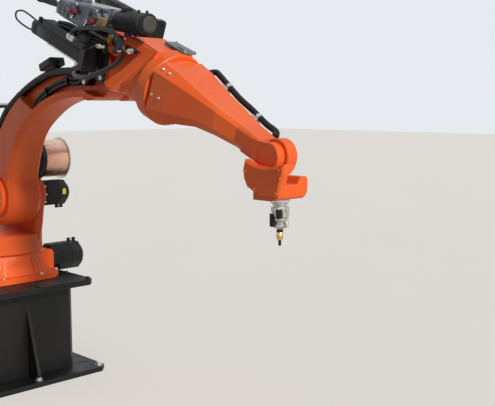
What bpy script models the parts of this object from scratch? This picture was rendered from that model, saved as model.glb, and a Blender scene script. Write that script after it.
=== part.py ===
"""Six-axis welding robot arm on a plinth, in metres, +Z up, origin on the ground under the turning axis.

The arm is modelled in the pose it stands in. Each moving body has an empty on its joint's axis, and its pieces
are drawn in that empty's own frame: the link arm along its local Z, the arm housing and forearm along their
local X. Links are carried by their parents, so one changed length moves everything after it.
"""
import math

import bmesh
import bpy
import numpy as np

# Clearances
SEAT = 0.0003            # between two pieces that touch
BEARING = 0.0008         # between the two round faces of a joint

# Plinth and base
PLINTH_WIDTH = 0.62
PLINTH_HEIGHT = 0.58
FOOT_WIDTH = 0.90
FOOT_THICK = 0.030
DECK_LENGTH = 0.92
DECK_WIDTH = 0.72
DECK_THICK = 0.035
BASE_WIDTH = 0.56
BASE_HEIGHT = 0.155
BASE_FLANGE = 0.032
BASE_TOP_RADIUS = 0.235
BASE_MOTOR_ACROSS = 0.165
BASE_MOTOR_LENGTH = 0.215
BASE_MOTOR_X = 0.06
BASE_MOTOR_Z = 0.085     # above the deck

# Turret and shoulder
RING_RADIUS = 0.250
RING_HEIGHT = 0.120
SHOULDER_X = 0.175
SHOULDER_Z = 0.345       # above the turret's running face
CHEEK_RADIUS = 0.108
CHEEK_Y = (0.108, 0.165)
SHOULDER_GEAR_RADIUS = 0.100
SHOULDER_MOTOR_ACROSS = 0.145
SHOULDER_MOTOR_LENGTH = 0.170

# Wire spool
SPOOL_X = 0.10
SPOOL_Z = 0.545          # above the turret's running face
SPOOL_Y = 0.200
SPOOL_WIDTH = 0.170
SPOOL_RADIUS = 0.125
WIRE_RADIUS = 0.112
SPINDLE_RADIUS = 0.014
SPOOL_FLANGE = 0.008

# Link arm
LINK_LENGTH = 1.14
LINK_LEAN = 53.4
LINK_HALF = 0.098
LINK_CHAMFER = 0.024
# Its front and back edges and hoses: x in metres, then the height as a share of LINK_LENGTH
LINK_FRONT = ((0.120, 0.018), (0.035, 0.118), (-0.118, 0.333), (-0.118, 0.561), (-0.045, 0.754),
              (0.105, 0.952))
LINK_BACK = ((-0.100, -0.088), (-0.245, 0.105), (-0.312, 0.351), (-0.280, 0.561), (-0.195, 0.772),
             (-0.070, 1.053))
RECESS_START = (0.550, 0.470)   # the hose recess starts here at the front wall and at the back
UPPER_HOSE = ((-0.336, 0.230), (-0.348, 0.307), (-0.335, 0.421), (-0.298, 0.570), (-0.230, 0.730),
              (-0.138, 0.852), (-0.085, 0.905))
LOWER_HOSE = ((-0.181, 0.541), (-0.191, 0.558), (-0.184, 0.614), (-0.163, 0.693), (-0.134, 0.762),
              (-0.090, 0.838), (-0.040, 0.895))
GLAND_TOP = 0.215
CLAMP_LEVEL = 0.307
BOSS_PROUD = 0.004       # machined faces of the foot and head stand proud of the beam
FOOT_RADIUS = 0.165
HEAD_RADIUS = 0.138
RECESS_DEPTH = 0.066
RECESS_WALL = 0.030
HOSE_RADIUS = 0.021
SWIVEL_Y = -0.108        # end of the hose swivel on the elbow's axis

# Arm housing, measured from the elbow axis
AXIS_RISE = 0.12         # forearm axis above the elbow axis
HOUSING_PITCH = 22.0
HOUSING_HALF = 0.152
HOUSING_RISE = 0.160
DECK_TOP = 0.205         # motor deck above the elbow axis
DECK_Y = -0.130          # its right edge
RIM_PROUD = 0.012        # V-shaped rim above the casting
# The rim is drawn on the right side's sloping face: x, then the distance up that face from RIM_FOOT
RIM_FOOT = (-0.165, 0.035)
RIM_LEAN = 18.1
RIM_FLOOR = 0.040        # depth of the sunk face behind the rim
RIM_OUTLINE = ((0.262, 0.011), (0.300, -0.007), (0.343, 0.005), (0.482, 0.249), (0.270, 0.249), (0.270, 0.212),
               (0.400, 0.212), (0.327, 0.086))
RIM_CUT = ((0.150, -0.070), (0.252, -0.070), (0.270, 0.011), (0.336, 0.086), (0.402, 0.222), (0.277, 0.222),
           (0.277, 0.300), (0.150, 0.300))
ROLL_PLANE = 0.56
COLLAR_RADIUS = 0.168
COLLAR_LENGTH = 0.055
HUB_DISC_RADIUS = 0.140
HUB_Y = (0.108, 0.205)
ELBOW_GEAR_RADIUS = 0.112
ELBOW_MOTOR_ACROSS = 0.125
ELBOW_MOTOR_LENGTH = 0.14
WRIST_MOTOR_RADIUS = 0.040
WRIST_MOTOR_PLACES = ((-0.167, 0.100), (0.172, 0.186), (0.172, 0.270))
WRIST_MOTOR_END = -0.38
WRIST_MOTOR_START = 0.10

# Wire feeder, outline as (x, height above its bracket), and the hose that arches from the elbow's axis
FEEDER_OUTLINE = ((-0.180, 0.0), (0.060, 0.0), (0.165, 0.042), (0.190, 0.080), (0.165, 0.142), (-0.185, 0.085),
                  (-0.205, 0.055), (-0.205, 0.012))
FEEDER_KNOBS = (-0.021, 0.126)
INLET_Y = -0.128
FEEDER_Y = (-0.200, -0.045)
FEEDER_MOTOR_Y = -0.120
FEEDER_MOTOR_RADIUS = 0.048
FEEDER_MOTOR_LENGTH = 0.235
ARCH_END = (0.016, -0.215, 0.186)
ARCH_HOSE = ((0.0, -0.130, 0.0), (0.020, -0.170, 0.0), (0.090, -0.200, 0.008), (0.170, -0.212, 0.034),
             (0.250, -0.215, 0.080), (0.330, -0.215, 0.135), (0.389, -0.215, 0.186), (0.412, -0.215, 0.243),
             (0.365, -0.215, 0.285), (0.280, -0.215, 0.294), (0.147, -0.215, 0.260), (0.050, -0.215, 0.226))

# Forearm and wrist
ELBOW_TO_WRIST = 1.256
# Forearm sections: place as a share of its length, then left, right, up and down from its axis, then the cuts
# of the left upper, right upper and both lower corners
FOREARM = ((0.029, 0.158, 0.160, 0.140, 0.130, 0.062, 0.042, 0.055),
           (0.172, 0.148, 0.152, 0.128, 0.102, 0.062, 0.036, 0.050),
           (0.402, 0.122, 0.126, 0.095, 0.052, 0.060, 0.020, 0.036),
           (0.560, 0.106, 0.108, 0.075, 0.042, 0.050, 0.014, 0.030),
           (0.713, 0.088, 0.072, 0.050, 0.048, 0.036, 0.014, 0.026),
           (0.888, 0.064, 0.072, 0.038, 0.052, 0.024, 0.012, 0.018))
FOREARM_END = 0.078      # from the casting's end to the bend axis
CONDUIT_RADIUS = 0.014
CLAMP_THICK = 0.012
CHEEK_END_RADIUS = 0.056  # round end of the forearm's cheek, on the bend axis
CHEEK_END_Y = (-0.072, -0.030)
BEND = 68.0              # wrist turned down from the forearm's line
WRIST_PLATE_Y = (-0.118, -0.0775)
WRIST_PLATE = ((0.012, -0.085), (0.050, -0.096), (0.088, -0.092), (0.120, -0.075), (0.150, -0.012),
               (0.150, 0.098), (0.100, 0.110), (0.060, 0.125), (0.022, 0.128), (0.034, 0.090), (0.040, 0.030),
               (0.034, -0.030))
# The web between the head and the plate, as (x, y): it stays clear of the forearm's cheek
WRIST_WEB = ((0.030, 0.027), (0.030, -0.0285), (0.0635, -0.0285), (0.0635, -0.100), (0.125, -0.100),
             (0.125, -0.045), (0.112, -0.045), (0.095, -0.040), (0.075, -0.020), (0.055, 0.010))
WRIST_FOOT_X = 0.112
WRIST_HEAD_RADIUS = 0.070
WRIST_HEAD_Y = (-0.0292, 0.028)
FLANGE_REACH = 0.171
FLANGE_RADIUS = 0.040
FLANGE_THICK = 0.014
TORCH_RADIUS = 0.034


def clear_scene():
    for item in list(bpy.data.objects):
        bpy.data.objects.remove(item, do_unlink=True)


def paint(name, colour, roughness, metallic=0.0):
    """A Principled material; the same name returns the same material."""
    found = bpy.data.materials.get(name)
    if found:
        return found
    made = bpy.data.materials.new(name)
    made.use_nodes = True
    shader = made.node_tree.nodes["Principled BSDF"]
    shader.inputs["Base Color"].default_value = (*colour, 1.0)
    shader.inputs["Roughness"].default_value = roughness
    shader.inputs["Metallic"].default_value = metallic
    return made


def orange():
    return paint("orange_paint", (0.83, 0.16, 0.03), 0.42)


def black_paint():
    return paint("black_paint", (0.02, 0.02, 0.022), 0.45)


def rubber():
    return paint("black_rubber", (0.015, 0.015, 0.016), 0.6)


def steel():
    return paint("bright_steel", (0.62, 0.62, 0.62), 0.3, 1.0)


def grey_metal():
    return paint("grey_alloy", (0.36, 0.37, 0.39), 0.45, 0.8)


def frame(name, parent, place, pitch=0.0):
    """An empty on a joint's axis; pitch turns it about its own Y, in degrees."""
    made = bpy.data.objects.new(name, None)
    bpy.context.scene.collection.objects.link(made)
    made.parent = parent
    made.location = place
    made.rotation_euler = (0.0, math.radians(pitch), 0.0)
    return made


def piece(name, mesh, parent, finish, smooth=True):
    """An object that holds the mesh, drawn in its parent's frame."""
    made = bpy.data.objects.new(name, mesh)
    bpy.context.scene.collection.objects.link(made)
    made.parent = parent
    made.data.materials.append(finish)
    if smooth:
        mesh.shade_smooth()
        mesh.set_sharp_from_angle(angle=math.radians(28.0))
    return made


def skin(name, rings):
    """A closed mesh through equal rings of points: quads between them and a flat cap at each end."""
    count = len(rings[0])
    points = np.concatenate([np.asarray(ring, dtype=float) for ring in rings])
    faces = [tuple(reversed(range(count)))]
    for level in range(len(rings) - 1):
        low = level * count
        for i in range(count):
            j = (i + 1) % count
            faces.append((low + i, low + j, low + count + j, low + count + i))
    faces.append(tuple(range(len(points) - count, len(points))))
    mesh = bpy.data.meshes.new(name)
    mesh.from_pydata(points.tolist(), [], faces)
    body = bmesh.new()
    body.from_mesh(mesh)
    bmesh.ops.recalc_face_normals(body, faces=body.faces)
    body.to_mesh(mesh)
    body.free()
    return mesh


def grown(outline, amount):
    """The outline moved outwards by amount along the mean normal of its two edges; it runs anticlockwise."""
    points = np.asarray(outline, dtype=float)
    edges = np.roll(points, -1, axis=0) - points
    edges /= np.linalg.norm(edges, axis=1)[:, None]
    normals = np.stack([edges[:, 1], -edges[:, 0]], axis=1)
    before = np.roll(normals, 1, axis=0)
    scale = 1.0 + np.sum(normals * before, axis=1)
    return points + amount * (normals + before) / scale[:, None]


def slab(name, outline, low, high, chamfer=0.0, axis="Y"):
    """An outline of two coordinates carried along the third axis, with a chamfer round both faces."""
    steps = [(low, 0.0), (high, 0.0)]
    if chamfer:
        steps = [(low, -chamfer), (low + chamfer, 0.0), (high - chamfer, 0.0), (high, -chamfer)]
    rings = []
    for level, amount in steps:
        flat = grown(outline, amount)
        along = np.full(len(flat), level)
        columns = {"X": (along, flat[:, 0], flat[:, 1]), "Y": (flat[:, 0], along, flat[:, 1]),
                   "Z": (flat[:, 0], flat[:, 1], along)}[axis]
        rings.append(np.stack(columns, axis=1))
    return skin(name, rings)


def round_outline(centre, radius, sides, start=0.0):
    turn = math.radians(start) + np.arange(sides) * 2.0 * math.pi / sides
    return np.stack([centre[0] + radius * np.cos(turn), centre[1] + radius * np.sin(turn)], axis=1)


def box_outline(low, high, corner=0.0):
    """An anticlockwise rectangle, with its corners cut when corner is given."""
    (x0, z0), (x1, z1) = low, high
    if not corner:
        return [(x0, z0), (x1, z0), (x1, z1), (x0, z1)]
    return [(x0 + corner, z0), (x1 - corner, z0), (x1, z0 + corner), (x1, z1 - corner),
            (x1 - corner, z1), (x0 + corner, z1), (x0, z1 - corner), (x0, z0 + corner)]


def drum(name, centre, radius, low, high, sides=32, chamfer=0.0, axis="Y"):
    return slab(name, round_outline(centre, radius, sides, 180.0 / sides), low, high, chamfer, axis)


def smooth_curve(points, count):
    """Points spaced evenly in parameter on a Catmull-Rom curve through the given ones."""
    knots = np.asarray(points, dtype=float)
    ends = np.concatenate([[2 * knots[0] - knots[1]], knots, [2 * knots[-1] - knots[-2]]])
    place = np.linspace(0.0, len(knots) - 1.0, count)
    index = np.minimum(place.astype(int), len(knots) - 2)
    t = (place - index)[:, None]
    a, b, c, d = (ends[index + k] for k in range(4))
    return 0.5 * (2 * b + (c - a) * t + (2 * a - 5 * b + 4 * c - d) * t ** 2
                  + (3 * b - a - 3 * c + d) * t ** 3)


def tube(name, points, radius, parent, finish, resolution=2):
    """A round bar or hose along points, as a bevelled curve with filled ends."""
    curve = bpy.data.curves.new(name, "CURVE")
    curve.dimensions = "3D"
    curve.bevel_depth = radius
    curve.bevel_resolution = resolution
    curve.use_fill_caps = True
    line = curve.splines.new("POLY")
    line.points.add(len(points) - 1)
    for knot, place in zip(line.points, points):
        knot.co = (*place, 1.0)
    made = bpy.data.objects.new(name, curve)
    bpy.context.scene.collection.objects.link(made)
    made.parent = parent
    made.data.materials.append(finish)
    return made


def combine(target, mesh, operation="UNION", holder=None):
    """Adds or cuts a tool mesh, drawn in the holder's frame, with a Boolean that stays on the object."""
    tool = bpy.data.objects.new(target.name + "_tool", mesh)
    bpy.context.scene.collection.objects.link(tool)
    tool.parent = holder or target
    tool.hide_render = True
    tool.display_type = "WIRE"
    step = target.modifiers.new(operation.title(), "BOOLEAN")
    step.operation = operation
    step.object = tool
    return tool


def octagon_motor(name, parent, centre, across, start, length, axis="Y"):
    """A servo motor: an eight-sided body with chamfered ends and a round back cap."""
    radius = across / 2.0 / math.cos(math.pi / 8.0)
    body = slab(name, round_outline(centre, radius, 8, 22.5), start, start + length, 0.010, axis)
    made = piece(name, body, parent, black_paint(), smooth=False)
    end = start + length
    combine(made, drum(name, centre, across * 0.36, end - 0.004, end + 0.018, 24, 0.004, axis))
    return made


def plinth(root):
    """Foot plate, welded column with four gussets, and the deck that the base is bolted to."""
    half = FOOT_WIDTH / 2.0
    square = box_outline((-half, -half), (half, half), 0.04)
    foot = slab("plinth_foot_plate", square, 0.0, FOOT_THICK, 0.003, "Z")
    piece("plinth_foot_plate", foot, root, black_paint(), smooth=False)
    wall = PLINTH_WIDTH / 2.0
    low = FOOT_THICK + SEAT
    high = PLINTH_HEIGHT - DECK_THICK - SEAT
    column = slab("plinth_column", box_outline((-wall, -wall), (wall, wall), 0.03), low, high, 0.0, "Z")
    body = piece("plinth_column", column, root, black_paint(), smooth=False)
    reach = half - 0.03
    for turn in range(4):
        side = [(wall - 0.01, low), (reach, low), (reach, low + 0.03), (wall - 0.01, high - 0.08)]
        rib = slab("gusset", side, -0.009, 0.009)
        tool = combine(body, rib)
        tool.rotation_euler = (0.0, 0.0, turn * math.pi / 2.0)
    x, y = DECK_LENGTH / 2.0, DECK_WIDTH / 2.0
    deck = slab("plinth_deck", box_outline((-x, -y), (x, y), 0.03), PLINTH_HEIGHT - DECK_THICK, PLINTH_HEIGHT,
                0.003, "Z")
    piece("plinth_deck", deck, root, black_paint(), smooth=False)


def base(root):
    """The fixed casting: a bolted flange, a body that narrows to the round seat, ribs, motor and sockets."""
    low = PLINTH_HEIGHT + SEAT
    high = PLINTH_HEIGHT + BASE_HEIGHT
    half = BASE_WIDTH / 2.0
    sides = 32
    turn = (np.arange(sides) + 0.5) * 2.0 * math.pi / sides
    unit = np.stack([np.cos(turn), np.sin(turn)], axis=1)

    def level(height, square, radius, share):
        """A ring between a square with cut corners (share 0) and a circle (share 1)."""
        reach = square / np.maximum(np.abs(unit).max(axis=1), np.abs(unit).sum(axis=1) / 1.72)
        flat = unit * ((1.0 - share) * reach + share * radius)[:, None]
        return np.column_stack([flat, np.full(sides, height)])

    flange_top = low + BASE_FLANGE
    rings = [level(low, half, half, 0.0), level(flange_top, half, half, 0.0),
             level(flange_top + 0.006, half - 0.03, half, 0.0),
             level(flange_top + 0.05, half - 0.045, BASE_TOP_RADIUS, 0.45),
             level(high - 0.025, half, BASE_TOP_RADIUS, 1.0), level(high, half, BASE_TOP_RADIUS - 0.006, 1.0)]
    casting = piece("base_casting", skin("base_casting", rings), root, orange())
    for turn in range(8):
        rib = slab("rib", [(0.15, low + 0.01), (half - 0.012, low + 0.01), (half - 0.012, flange_top + 0.01),
                           (BASE_TOP_RADIUS + 0.004, high - 0.03), (0.15, high - 0.03)], -0.009, 0.009)
        tool = combine(casting, rib)
        tool.rotation_euler = (0.0, 0.0, (turn + 0.5) * math.pi / 4.0)
    pad = slab("motor_pad", box_outline((BASE_MOTOR_X - 0.085, PLINTH_HEIGHT + 0.01),
                                        (BASE_MOTOR_X + 0.085, PLINTH_HEIGHT + 0.145), 0.02), 0.15, half)
    combine(casting, pad)
    octagon_motor("base_motor", root, (BASE_MOTOR_X, PLINTH_HEIGHT + BASE_MOTOR_Z), BASE_MOTOR_ACROSS,
                  half + SEAT, BASE_MOTOR_LENGTH)
    plate = box_outline((-0.085, PLINTH_HEIGHT + 0.012), (0.085, PLINTH_HEIGHT + 0.132), 0.008)
    panel = slab("socket_panel", plate, -half - 0.045, -half - SEAT, 0.004, "X")
    piece("socket_panel", panel, root, grey_metal(), smooth=False)


def turret(joint):
    """The turning casting: a round ring, and one tall cheek on the left that carries the shoulder."""
    ring = drum("turret", (0.0, 0.0), RING_RADIUS, BEARING, RING_HEIGHT, 48, 0.008, "Z")
    casting = piece("turret", ring, joint, orange())
    cx, cz = SHOULDER_X, SHOULDER_Z
    arc = np.radians(np.linspace(-40.0, 110.0, 13))
    boss = [(cx + CHEEK_RADIUS * math.cos(a), cz + CHEEK_RADIUS * math.sin(a)) for a in arc]
    front = [(-0.170, 0.070), (0.205, 0.070), (0.235, 0.160)]
    rear = [(0.020, cz + 0.060), (-0.110, cz - 0.060), (-0.180, 0.170)]
    combine(casting, slab("cheek", front + boss + rear, CHEEK_Y[0], CHEEK_Y[1], 0.014))
    gear_face = LINK_HALF + BOSS_PROUD + BEARING
    combine(casting, drum("gear_face", (cx, cz), SHOULDER_GEAR_RADIUS, gear_face, CHEEK_Y[0] + 0.01, 40))
    web = [(-0.15, 0.06), (0.20, 0.06), (0.20, 0.115), (-0.03, 0.160), (-0.13, 0.200), (-0.16, 0.12)]
    combine(casting, slab("web", web, -0.13, CHEEK_Y[0] + 0.02, 0.012))
    outside = CHEEK_Y[1] + SEAT
    octagon_motor("shoulder_motor", joint, (cx, cz), SHOULDER_MOTOR_ACROSS, outside, SHOULDER_MOTOR_LENGTH)


def spool_bracket(joint):
    """The arm and spindle that hold the wire spool beside the turret."""
    low = SHOULDER_Z - 0.095
    foot = [(SPOOL_X - 0.150, low), (SPOOL_X - 0.080, low), (SPOOL_X + 0.030, SPOOL_Z + 0.025),
            (SPOOL_X - 0.026, SPOOL_Z + 0.025)]
    inner = CHEEK_Y[1] + SEAT
    plate = slab("spool_bracket", foot, inner, inner + 0.016, 0.003)
    arm = piece("spool_bracket", plate, joint, black_paint(), smooth=False)
    end = SPOOL_Y + SPOOL_WIDTH + 0.020
    combine(arm, drum("spindle", (SPOOL_X, SPOOL_Z), SPINDLE_RADIUS, inner + 0.008, end, 20))


def spool(joint):
    """A wire spool that turns on the spindle: two flanges on a hub, with the wound wire between them."""
    bore = SPINDLE_RADIUS + BEARING
    turn = np.arange(40) * 2.0 * math.pi / 40

    def ringed(name, outer, inner, low, high, finish):
        """A flat ring: outer wall up, inner wall down, closed end to end."""
        rows = []
        for radius, level in ((outer, low), (outer, high), (inner, high), (inner, low)):
            rows.append(np.column_stack([radius * np.cos(turn), np.full(40, level), radius * np.sin(turn)]))
        points = np.concatenate(rows)
        faces = []
        for level in range(4):
            a, b = level * 40, ((level + 1) % 4) * 40
            for i in range(40):
                j = (i + 1) % 40
                faces.append((a + i, a + j, b + j, b + i))
        mesh = bpy.data.meshes.new(name)
        mesh.from_pydata(points.tolist(), [], faces)
        body = bmesh.new()
        body.from_mesh(mesh)
        bmesh.ops.recalc_face_normals(body, faces=body.faces)
        body.to_mesh(mesh)
        body.free()
        return piece(name, mesh, joint, finish)

    near, far = SPOOL_FLANGE, SPOOL_WIDTH - SPOOL_FLANGE
    ringed("spool_inner_flange", SPOOL_RADIUS, bore, 0.0, near, black_paint())
    copper = paint("copper_wire", (0.72, 0.36, 0.2), 0.3, 1.0)
    ringed("spool_wire", WIRE_RADIUS, bore, near + SEAT, far - SEAT, copper)
    ringed("spool_outer_flange", SPOOL_RADIUS, bore, far, SPOOL_WIDTH, grey_metal())


def link_edges(count=25):
    """The link's front and back edges in its own frame, as curves of (x, z)."""
    scale = np.array([1.0, LINK_LENGTH])
    return smooth_curve(LINK_FRONT * scale, count), smooth_curve(LINK_BACK * scale, count)


def link_arm(joint):
    """The gooseneck casting: a bowed beam between foot and head, with the hose recess in its right side."""
    front, back = link_edges()
    outline = np.concatenate([front, back[::-1]])
    low, high = -LINK_HALF, LINK_HALF
    beam = piece("link_arm", slab("link_arm", outline, low, high, LINK_CHAMFER), joint, orange())
    boss_low, boss_high = low - BOSS_PROUD, high + BOSS_PROUD
    combine(beam, drum("foot", (0.0, 0.0), FOOT_RADIUS, boss_low, boss_high, 40, LINK_CHAMFER))
    combine(beam, drum("head", (0.0, LINK_LENGTH), HEAD_RADIUS, boss_low, boss_high, 40, LINK_CHAMFER))
    wall = grown(outline, -RECESS_WALL)[:len(front)]
    front_start, back_start = RECESS_START[0] * LINK_LENGTH, RECESS_START[1] * LINK_LENGTH
    lug = [(float(np.interp(back_start, back[:, 1], back[:, 0])) - 0.020, back_start),
           (float(np.interp(front_start, wall[:, 1], wall[:, 0])), front_start)]
    wall = wall[wall[:, 1] > front_start + 0.004]
    open_side = np.array([(-0.60, back_start), (-0.60, LINK_LENGTH)])
    past = np.array([[0.30, LINK_LENGTH + 0.08], [0.25, LINK_LENGTH + 0.26], [-0.60, LINK_LENGTH + 0.26]])
    recess = np.concatenate([lug, wall, past, open_side[::-1]])
    combine(beam, slab("recess", recess, low - 0.05, low + RECESS_DEPTH), "DIFFERENCE")
    radius = FOOT_RADIUS - 0.045
    cover = drum("shoulder_cover", (0.0, 0.0), radius, boss_low - 0.030, boss_low - SEAT, 32, 0.008)
    piece("shoulder_cover", cover, joint, orange())


def link_hoses(joint):
    """Two hoses over the link's back, a clamp bar near the foot and a clamp block at the elbow."""
    side = -LINK_HALF + RECESS_DEPTH - HOSE_RADIUS - SEAT
    entry = LINK_LENGTH - 0.065
    gland_top = GLAND_TOP * LINK_LENGTH
    for name, route in (("upper_hose", UPPER_HOSE), ("lower_hose", LOWER_HOSE)):
        route = [(x, side, share * LINK_LENGTH) for x, share in route]
        route.append((route[-1][0], side, entry - 0.015))
        line = smooth_curve(route, 3 * len(route)).tolist()
        line.append((line[-1][0], side, entry - SEAT))
        if name == "upper_hose":
            line.insert(0, (line[0][0], side, gland_top + SEAT))
        tube(name, line, HOSE_RADIUS, joint, rubber())
    block = slab("elbow_hose_clamp", box_outline((-0.105, entry), (0.040, LINK_LENGTH + 0.03), 0.008),
                 side - HOSE_RADIUS - 0.012, -LINK_HALF + RECESS_DEPTH - SEAT, 0.004)
    made = piece("elbow_hose_clamp", block, joint, black_paint(), smooth=False)
    combine(made, drum("swivel", (0.0, LINK_LENGTH), 0.019, SWIVEL_Y, side - HOSE_RADIUS, 20))
    back = link_edges()[1]
    level = CLAMP_LEVEL * LINK_LENGTH
    seat = back[np.abs(back[:, 1] - level) < 0.03, 0].min() - SEAT
    outer = UPPER_HOSE[1][0] - HOSE_RADIUS - 0.006
    bar = slab("lower_hose_clamp", box_outline((outer - 0.019, level - 0.015), (outer, level + 0.015), 0.004),
               -0.100, 0.020)
    clamp = piece("lower_hose_clamp", bar, joint, steel(), smooth=False)
    stand = box_outline((outer - 0.014, level - 0.012), (seat, level + 0.012))
    combine(clamp, slab("stand", stand, side + HOSE_RADIUS + 0.003, 0.018))
    bottom = gland_top - 0.070
    levels = [bottom] + [z for z in back[:, 1] if bottom < z < gland_top] + [gland_top]
    low_back = [(float(np.interp(z, back[:, 1], back[:, 0])) - 2.0 * SEAT, z) for z in levels]
    gland = [(-0.366, gland_top), (-0.366, gland_top - 0.030), (-0.330, bottom)] + low_back
    gland_body = slab("hose_gland", gland, side - 0.026, side + 0.026)
    piece("hose_gland", gland_body, joint, black_paint(), smooth=False)


def housing(joint):
    """The arm housing: a faceted casting before the link's head, a hub on the left and the V-shaped rim."""
    half, rise, axis = HOUSING_HALF, HOUSING_RISE, AXIS_RISE

    def section(x, top, hood, side, bottom):
        """An eight-sided ring from four corners of the left side, each (y, z); the right side mirrors them."""
        corners = [top, hood, side, bottom]
        ring = [(-y, z) for y, z in corners] + [(y, z) for y, z in reversed(corners)]
        return np.array([(x, y, z) for y, z in reversed(ring)])

    high = axis + rise
    rings = [section(0.205, (0.085, high - 0.035), (half - 0.012, 0.080), (0.112, 0.062), (0.080, 0.045)),
             section(0.300, (0.085, high), (half + 0.013, 0.035), (0.122, 0.018), (0.085, 0.010)),
             section(0.420, (0.090, high), (half - 0.006, 0.120), (0.122, 0.050), (0.080, 0.008)),
             section(0.500, (0.098, high), (half - 0.003, 0.185), (0.140, 0.060), (0.085, -0.010))]
    casting = piece("arm_housing", skin("arm_housing", rings), joint, orange())
    collar_low = ROLL_PLANE - COLLAR_LENGTH - 0.02
    combine(casting, drum("collar", (0.0, axis), COLLAR_RADIUS, collar_low, ROLL_PLANE, 40, 0.006, "X"))
    sunk = combine(casting, slab("rim_cut", RIM_CUT, -0.100, RIM_FLOOR), "DIFFERENCE")
    rim = combine(casting, slab("rim", RIM_OUTLINE, -RIM_PROUD, RIM_FLOOR + 0.010, 0.004))
    for tool in (sunk, rim):
        tool.location = (0.0, *RIM_FOOT)
        tool.rotation_euler = (-math.radians(RIM_LEAN), 0.0, 0.0)
    combine(casting, drum("hub", (0.0, 0.0), HUB_DISC_RADIUS, HUB_Y[0], HUB_Y[1], 36, 0.014))
    gear_face = LINK_HALF + BOSS_PROUD + BEARING
    combine(casting, drum("gear_face", (0.0, 0.0), ELBOW_GEAR_RADIUS, gear_face, HUB_Y[0] + 0.01, 36))
    web = [(-0.06, -0.115), (0.10, -0.100), (0.330, 0.03), (0.330, 0.24), (0.02, 0.190), (-0.10, 0.09)]
    combine(casting, slab("web", web, HUB_Y[0], HUB_Y[0] + 0.020, 0.006))
    deck = box_outline((-0.085, DECK_TOP - 0.040), (0.26, DECK_TOP), 0.012)
    combine(casting, slab("deck", deck, DECK_Y, HUB_Y[0] + 0.020, 0.008))
    start, end = WRIST_MOTOR_START + SEAT, WRIST_MOTOR_START + 0.030
    right = [(-0.212, 0.052), (-0.122, 0.052), (-0.110, 0.090), (-0.110, DECK_TOP - 0.010),
             (-0.135, DECK_TOP - 0.010), (-0.212, 0.148)]
    combine(casting, slab("right_carrier", right, start, end, 0.0, "X"))
    left = box_outline((start, 0.130), (end, 0.315), 0.012)
    combine(casting, slab("left_carrier", left, HUB_Y[0] + 0.012, 0.218))
    octagon_motor("elbow_motor", joint, (0.0, 0.0), ELBOW_MOTOR_ACROSS, HUB_Y[1] + SEAT, ELBOW_MOTOR_LENGTH)
    over = axis + COLLAR_RADIUS + SEAT
    strip = box_outline((0.391, over), (0.548, over + 0.016))
    cover = piece("cover_strip", slab("cover_strip", strip, 0.010, 0.090), joint, grey_metal(), smooth=False)
    foot = box_outline((0.393, high + SEAT), (0.470, over + 0.004))
    combine(cover, slab("foot", foot, 0.012, 0.088))


def wrist_motors(joint):
    """Three slim motors in line with the forearm, two on the right and one on the left of the link's head."""
    for number, (y, z) in enumerate(WRIST_MOTOR_PLACES, start=4):
        name = f"wrist_motor_a{number}"
        body = drum(name, (y, z), WRIST_MOTOR_RADIUS, WRIST_MOTOR_END, WRIST_MOTOR_START, 24, 0.006, "X")
        piece(name, body, joint, black_paint())


def feeder(joint):
    """The wire feeder on the housing: bracket, cast body, two knobs, drive motor and the wire inlet."""
    low = DECK_TOP + SEAT
    bracket = slab("feeder_bracket", box_outline((-0.10, low), (0.14, low + 0.014)), -0.135, -0.03)
    piece("feeder_bracket", bracket, joint, grey_metal(), smooth=False)
    body_low = low + 0.014 + SEAT
    outline = [(x, body_low + z) for x, z in FEEDER_OUTLINE]
    body = slab("feeder_body", outline, FEEDER_Y[0], FEEDER_Y[1], 0.010)
    cast = piece("feeder_body", body, joint, grey_metal(), smooth=False)
    for number, x in enumerate(FEEDER_KNOBS, start=1):
        name = f"feeder_knob_{number}"
        knob = drum(name, (x, body_low + 0.066), 0.019, FEEDER_Y[0] - 0.036, FEEDER_Y[0] - SEAT, 16, 0.004)
        piece(name, knob, joint, paint("red_plastic", (0.6, 0.03, 0.04), 0.4))
    tilt = frame("feeder_motor_line", joint, (0.206, FEEDER_MOTOR_Y, body_low + 0.100), -14.4)
    combine(cast, drum("motor_seat", (0.0, 0.0), 0.042, -0.080, 0.008, 28, 0.0, "X"), holder=tilt)
    motor = drum("feeder_motor", (0.0, 0.0), FEEDER_MOTOR_RADIUS, 0.008 + SEAT, FEEDER_MOTOR_LENGTH, 28, 0.006,
                 "X")
    piece("feeder_motor", motor, tilt, black_paint())
    level = body_low + 0.033
    inlet = [(-0.205 - SEAT, INLET_Y, level), (-0.225, INLET_Y, level), (-0.300, INLET_Y, level - 0.009),
             (-0.390, INLET_Y, level - 0.021), (-0.460, INLET_Y, level - 0.030)]
    tube("wire_inlet", inlet, 0.017, joint, rubber())


def arched_hose(joint):
    """The hose from the swivel on the elbow's axis that arches back under the feeder, and its fitting."""
    block = box_outline((ARCH_END[0] - 0.028, ARCH_END[2] - 0.028), (ARCH_END[0] + 0.028, ARCH_END[2]), 0.006)
    fitting = slab("arch_fitting", block, ARCH_END[1] - 0.018, DECK_Y - SEAT, 0.003)
    piece("arch_fitting", fitting, joint, grey_metal(), smooth=False)
    line = smooth_curve(ARCH_HOSE, 34).tolist()
    line.insert(0, (0.0, SWIVEL_Y - BEARING, 0.0))
    line += [(ARCH_END[0], ARCH_END[1], ARCH_END[2] + 0.012), (ARCH_END[0], ARCH_END[1], ARCH_END[2] + SEAT)]
    tube("arched_hose", line, 0.011, joint, rubber())


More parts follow.
